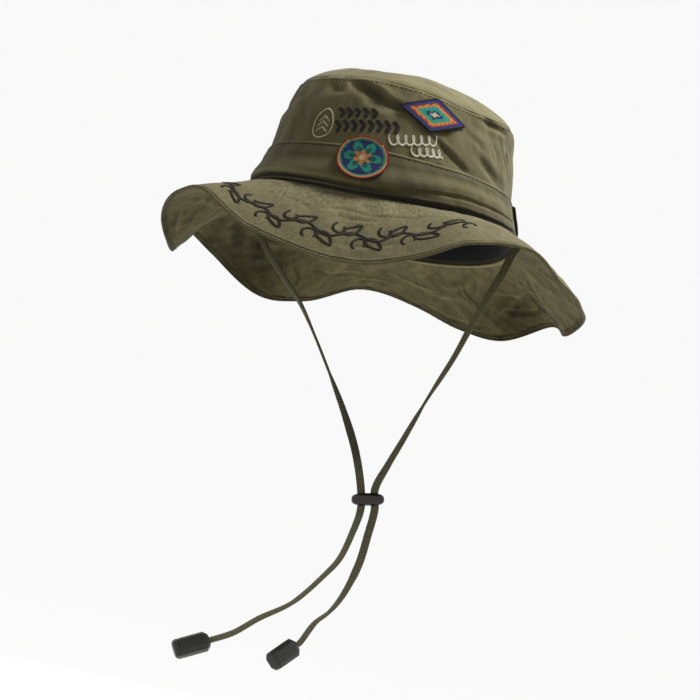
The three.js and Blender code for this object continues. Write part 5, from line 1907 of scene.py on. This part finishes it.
round_host = patch_host(ROUND_PLACE)
round_pad = patch_pad("round_patch_pad", round_host, lambda a: ROUND_RADIUS - 0.5 + 0 * a)
finish_mesh("round_patch_pad", round_pad, backing, ["patch_round"])
round_threads = [
    fill_stitches(round_host, lambda x, y: np.hypot(x, y) < ROUND_RADIUS - 1.8, round_design,
                  (15, 15)),
    border(round_host, circle(ROUND_RADIUS - 1.35), 1.9, linear("#ffb684")),
    border(round_host, circle(ROUND_RADIUS - 0.35), 1.3, linear("#8a3a28"), height=1.3),
]
lay_threads("round_patch_threads", round_threads, rayon)

diamond_host = patch_host(DIAMOND_PLACE, DIAMOND_TILT)
diamond_pad = patch_pad(
    "diamond_patch_pad", diamond_host, lambda a: 0.97 / diamond_level(np.cos(a), np.sin(a)))
finish_mesh("diamond_patch_pad", diamond_pad, backing, ["patch_diamond"])
diamond_threads = [
    fill_stitches(diamond_host, lambda x, y: diamond_level(x, y) < 0.9, diamond_design, DIAMOND_HALF),
    border(diamond_host, diamond(0.93), 1.7, linear("#171527")),
]
lay_threads("diamond_patch_threads", diamond_threads, rayon)

# %% [markdown]
# ## Vent eyelets
#
# Four small holes let air through, each worked round with thread like a buttonhole.

# %% Vent eyelets
EYELET_RADIUS, EYELET_STROKE, EYELET_CORNERS = 2.75, 2.5, 36
EYELET_THREAD = linear("#6c6648")


def eyelet_host(turn):
    """Host for threads round a vent: x and y in mm from its centre."""
    def host(x, y):
        spot, height = cloth_place((turn, VENT_HEIGHT), np.asarray(x, float), np.asarray(y, float))
        return crown_skin(spot, height), normal_of(crown_point, spot, share_at(spot, height))
    return host


for side, turn in VENT_TURNS.items():
    host = eyelet_host(turn)
    ring = satin(host, circle(EYELET_RADIUS, EYELET_CORNERS), EYELET_STROKE, EYELET_THREAD,
                 pitch=0.36, rise=0.3, closed=True, slant=0.0)
    piece = lay_threads(f"eyelet_threads_{side}", [ring], cotton_thread)
    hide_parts(f"eyelet_{side}")

# %% [markdown]
# ## Studio
#
# The photograph has a pale, even backdrop, so one bowl of paper is floor and wall at once, is
# there from every side, and glows a little. The key is a large soft light above and to the
# right, slightly behind the hat, which leaves the front of the crown several times darker
# than its right side. A weaker light behind lifts the top, one from below warms the underside
# of the brim, and a faint warm sky fills the rest. All three lights stay off the picture.

# %% Studio
# in metres: level of the floor, radius of its flat part, radius of the bend, top of the wall
FLOOR_LEVEL, SWEEP_FLAT, SWEEP_BEND, SWEEP_TOP = -0.43, 3.2, 1.5, 7.0
SWEEP_SIDES, SWEEP_STEPS = 72, 15
SWEEP_GLOW = 0.92


def studio_sweep():
    """Floor and wall in one bowl, so that there is paper behind the hat from any side."""
    profile = [(SWEEP_FLAT * share, FLOOR_LEVEL) for share in (0.25, 0.5, 0.75)]
    for bend in np.linspace(0, math.pi / 2, SWEEP_STEPS):
        rise = SWEEP_BEND * (1 - math.cos(bend))
        profile.append((SWEEP_FLAT + SWEEP_BEND * math.sin(bend), FLOOR_LEVEL + rise))
    profile.append((SWEEP_FLAT + SWEEP_BEND, SWEEP_TOP))
    sides = SWEEP_SIDES
    turns = 2 * np.pi * np.arange(sides) / sides
    points = [(0, 0, FLOOR_LEVEL)]
    points += [(r * math.cos(a), r * math.sin(a), z) for r, z in profile for a in turns]
    faces = [(0, 1 + i, 1 + (i + 1) % sides) for i in range(sides)]
    for ring in range(len(profile) - 1):
        near, far = 1 + ring * sides, 1 + (ring + 1) * sides
        faces += [(near + i, far + i, far + (i + 1) % sides, near + (i + 1) % sides)
                  for i in range(sides)]
    mesh = bpy.data.meshes.new("studio_sweep")
    mesh.from_pydata(points, [], faces)
    smooth_all(mesh)
    sweep = new_object("studio_sweep", mesh)
    material = bpy.data.materials.new("paper_sweep_white")
    material.use_nodes = True
    shader = material.node_tree.nodes["Principled BSDF"]
    shader.inputs["Base Color"].default_value = linear("#202020")
    shader.inputs["Roughness"].default_value = 0.9
    shader.inputs["Emission Color"].default_value = (1, 1, 1, 1)
    shader.inputs["Emission Strength"].default_value = SWEEP_GLOW
    mesh.materials.append(material)
    sweep.visible_diffuse = False
    sweep.visible_shadow = False


# name, place in metres, diameter in metres, watts, colour; each is turned to the hat
LIGHTS = [
    ("key", (0.92, 0.16, 1.99), 0.8, 44, (1.0, 0.985, 0.93)),
    ("below", (0.2, 0.85, -1.8), 1.2, 9, (1.0, 0.94, 0.74)),
    ("back", (0.84, 1.46, 1.41), 0.9, 10, (1.0, 0.98, 0.93)),
]
SKY_COLOUR, SKY_STRENGTH = (1, 0.95, 0.66, 1), 0.172

studio_sweep()
for name, place, size, power, colour in LIGHTS:
    lamp = bpy.data.lights.new(name, "AREA")
    lamp.shape, lamp.size, lamp.energy, lamp.color = "DISK", size, power, colour
    holder = new_object(name, lamp)
    holder.location = place
    holder.rotation_mode = "QUATERNION"
    holder.rotation_quaternion = (-Vector(place)).to_track_quat("-Z", "Y")
world = bpy.data.worlds.new("studio")
world.use_nodes = True
sky = world.node_tree.nodes["Background"]
sky.inputs["Color"].default_value = SKY_COLOUR
sky.inputs["Strength"].default_value = SKY_STRENGTH
bpy.context.scene.world = world
bpy.context.scene.view_settings.view_transform = "Standard"
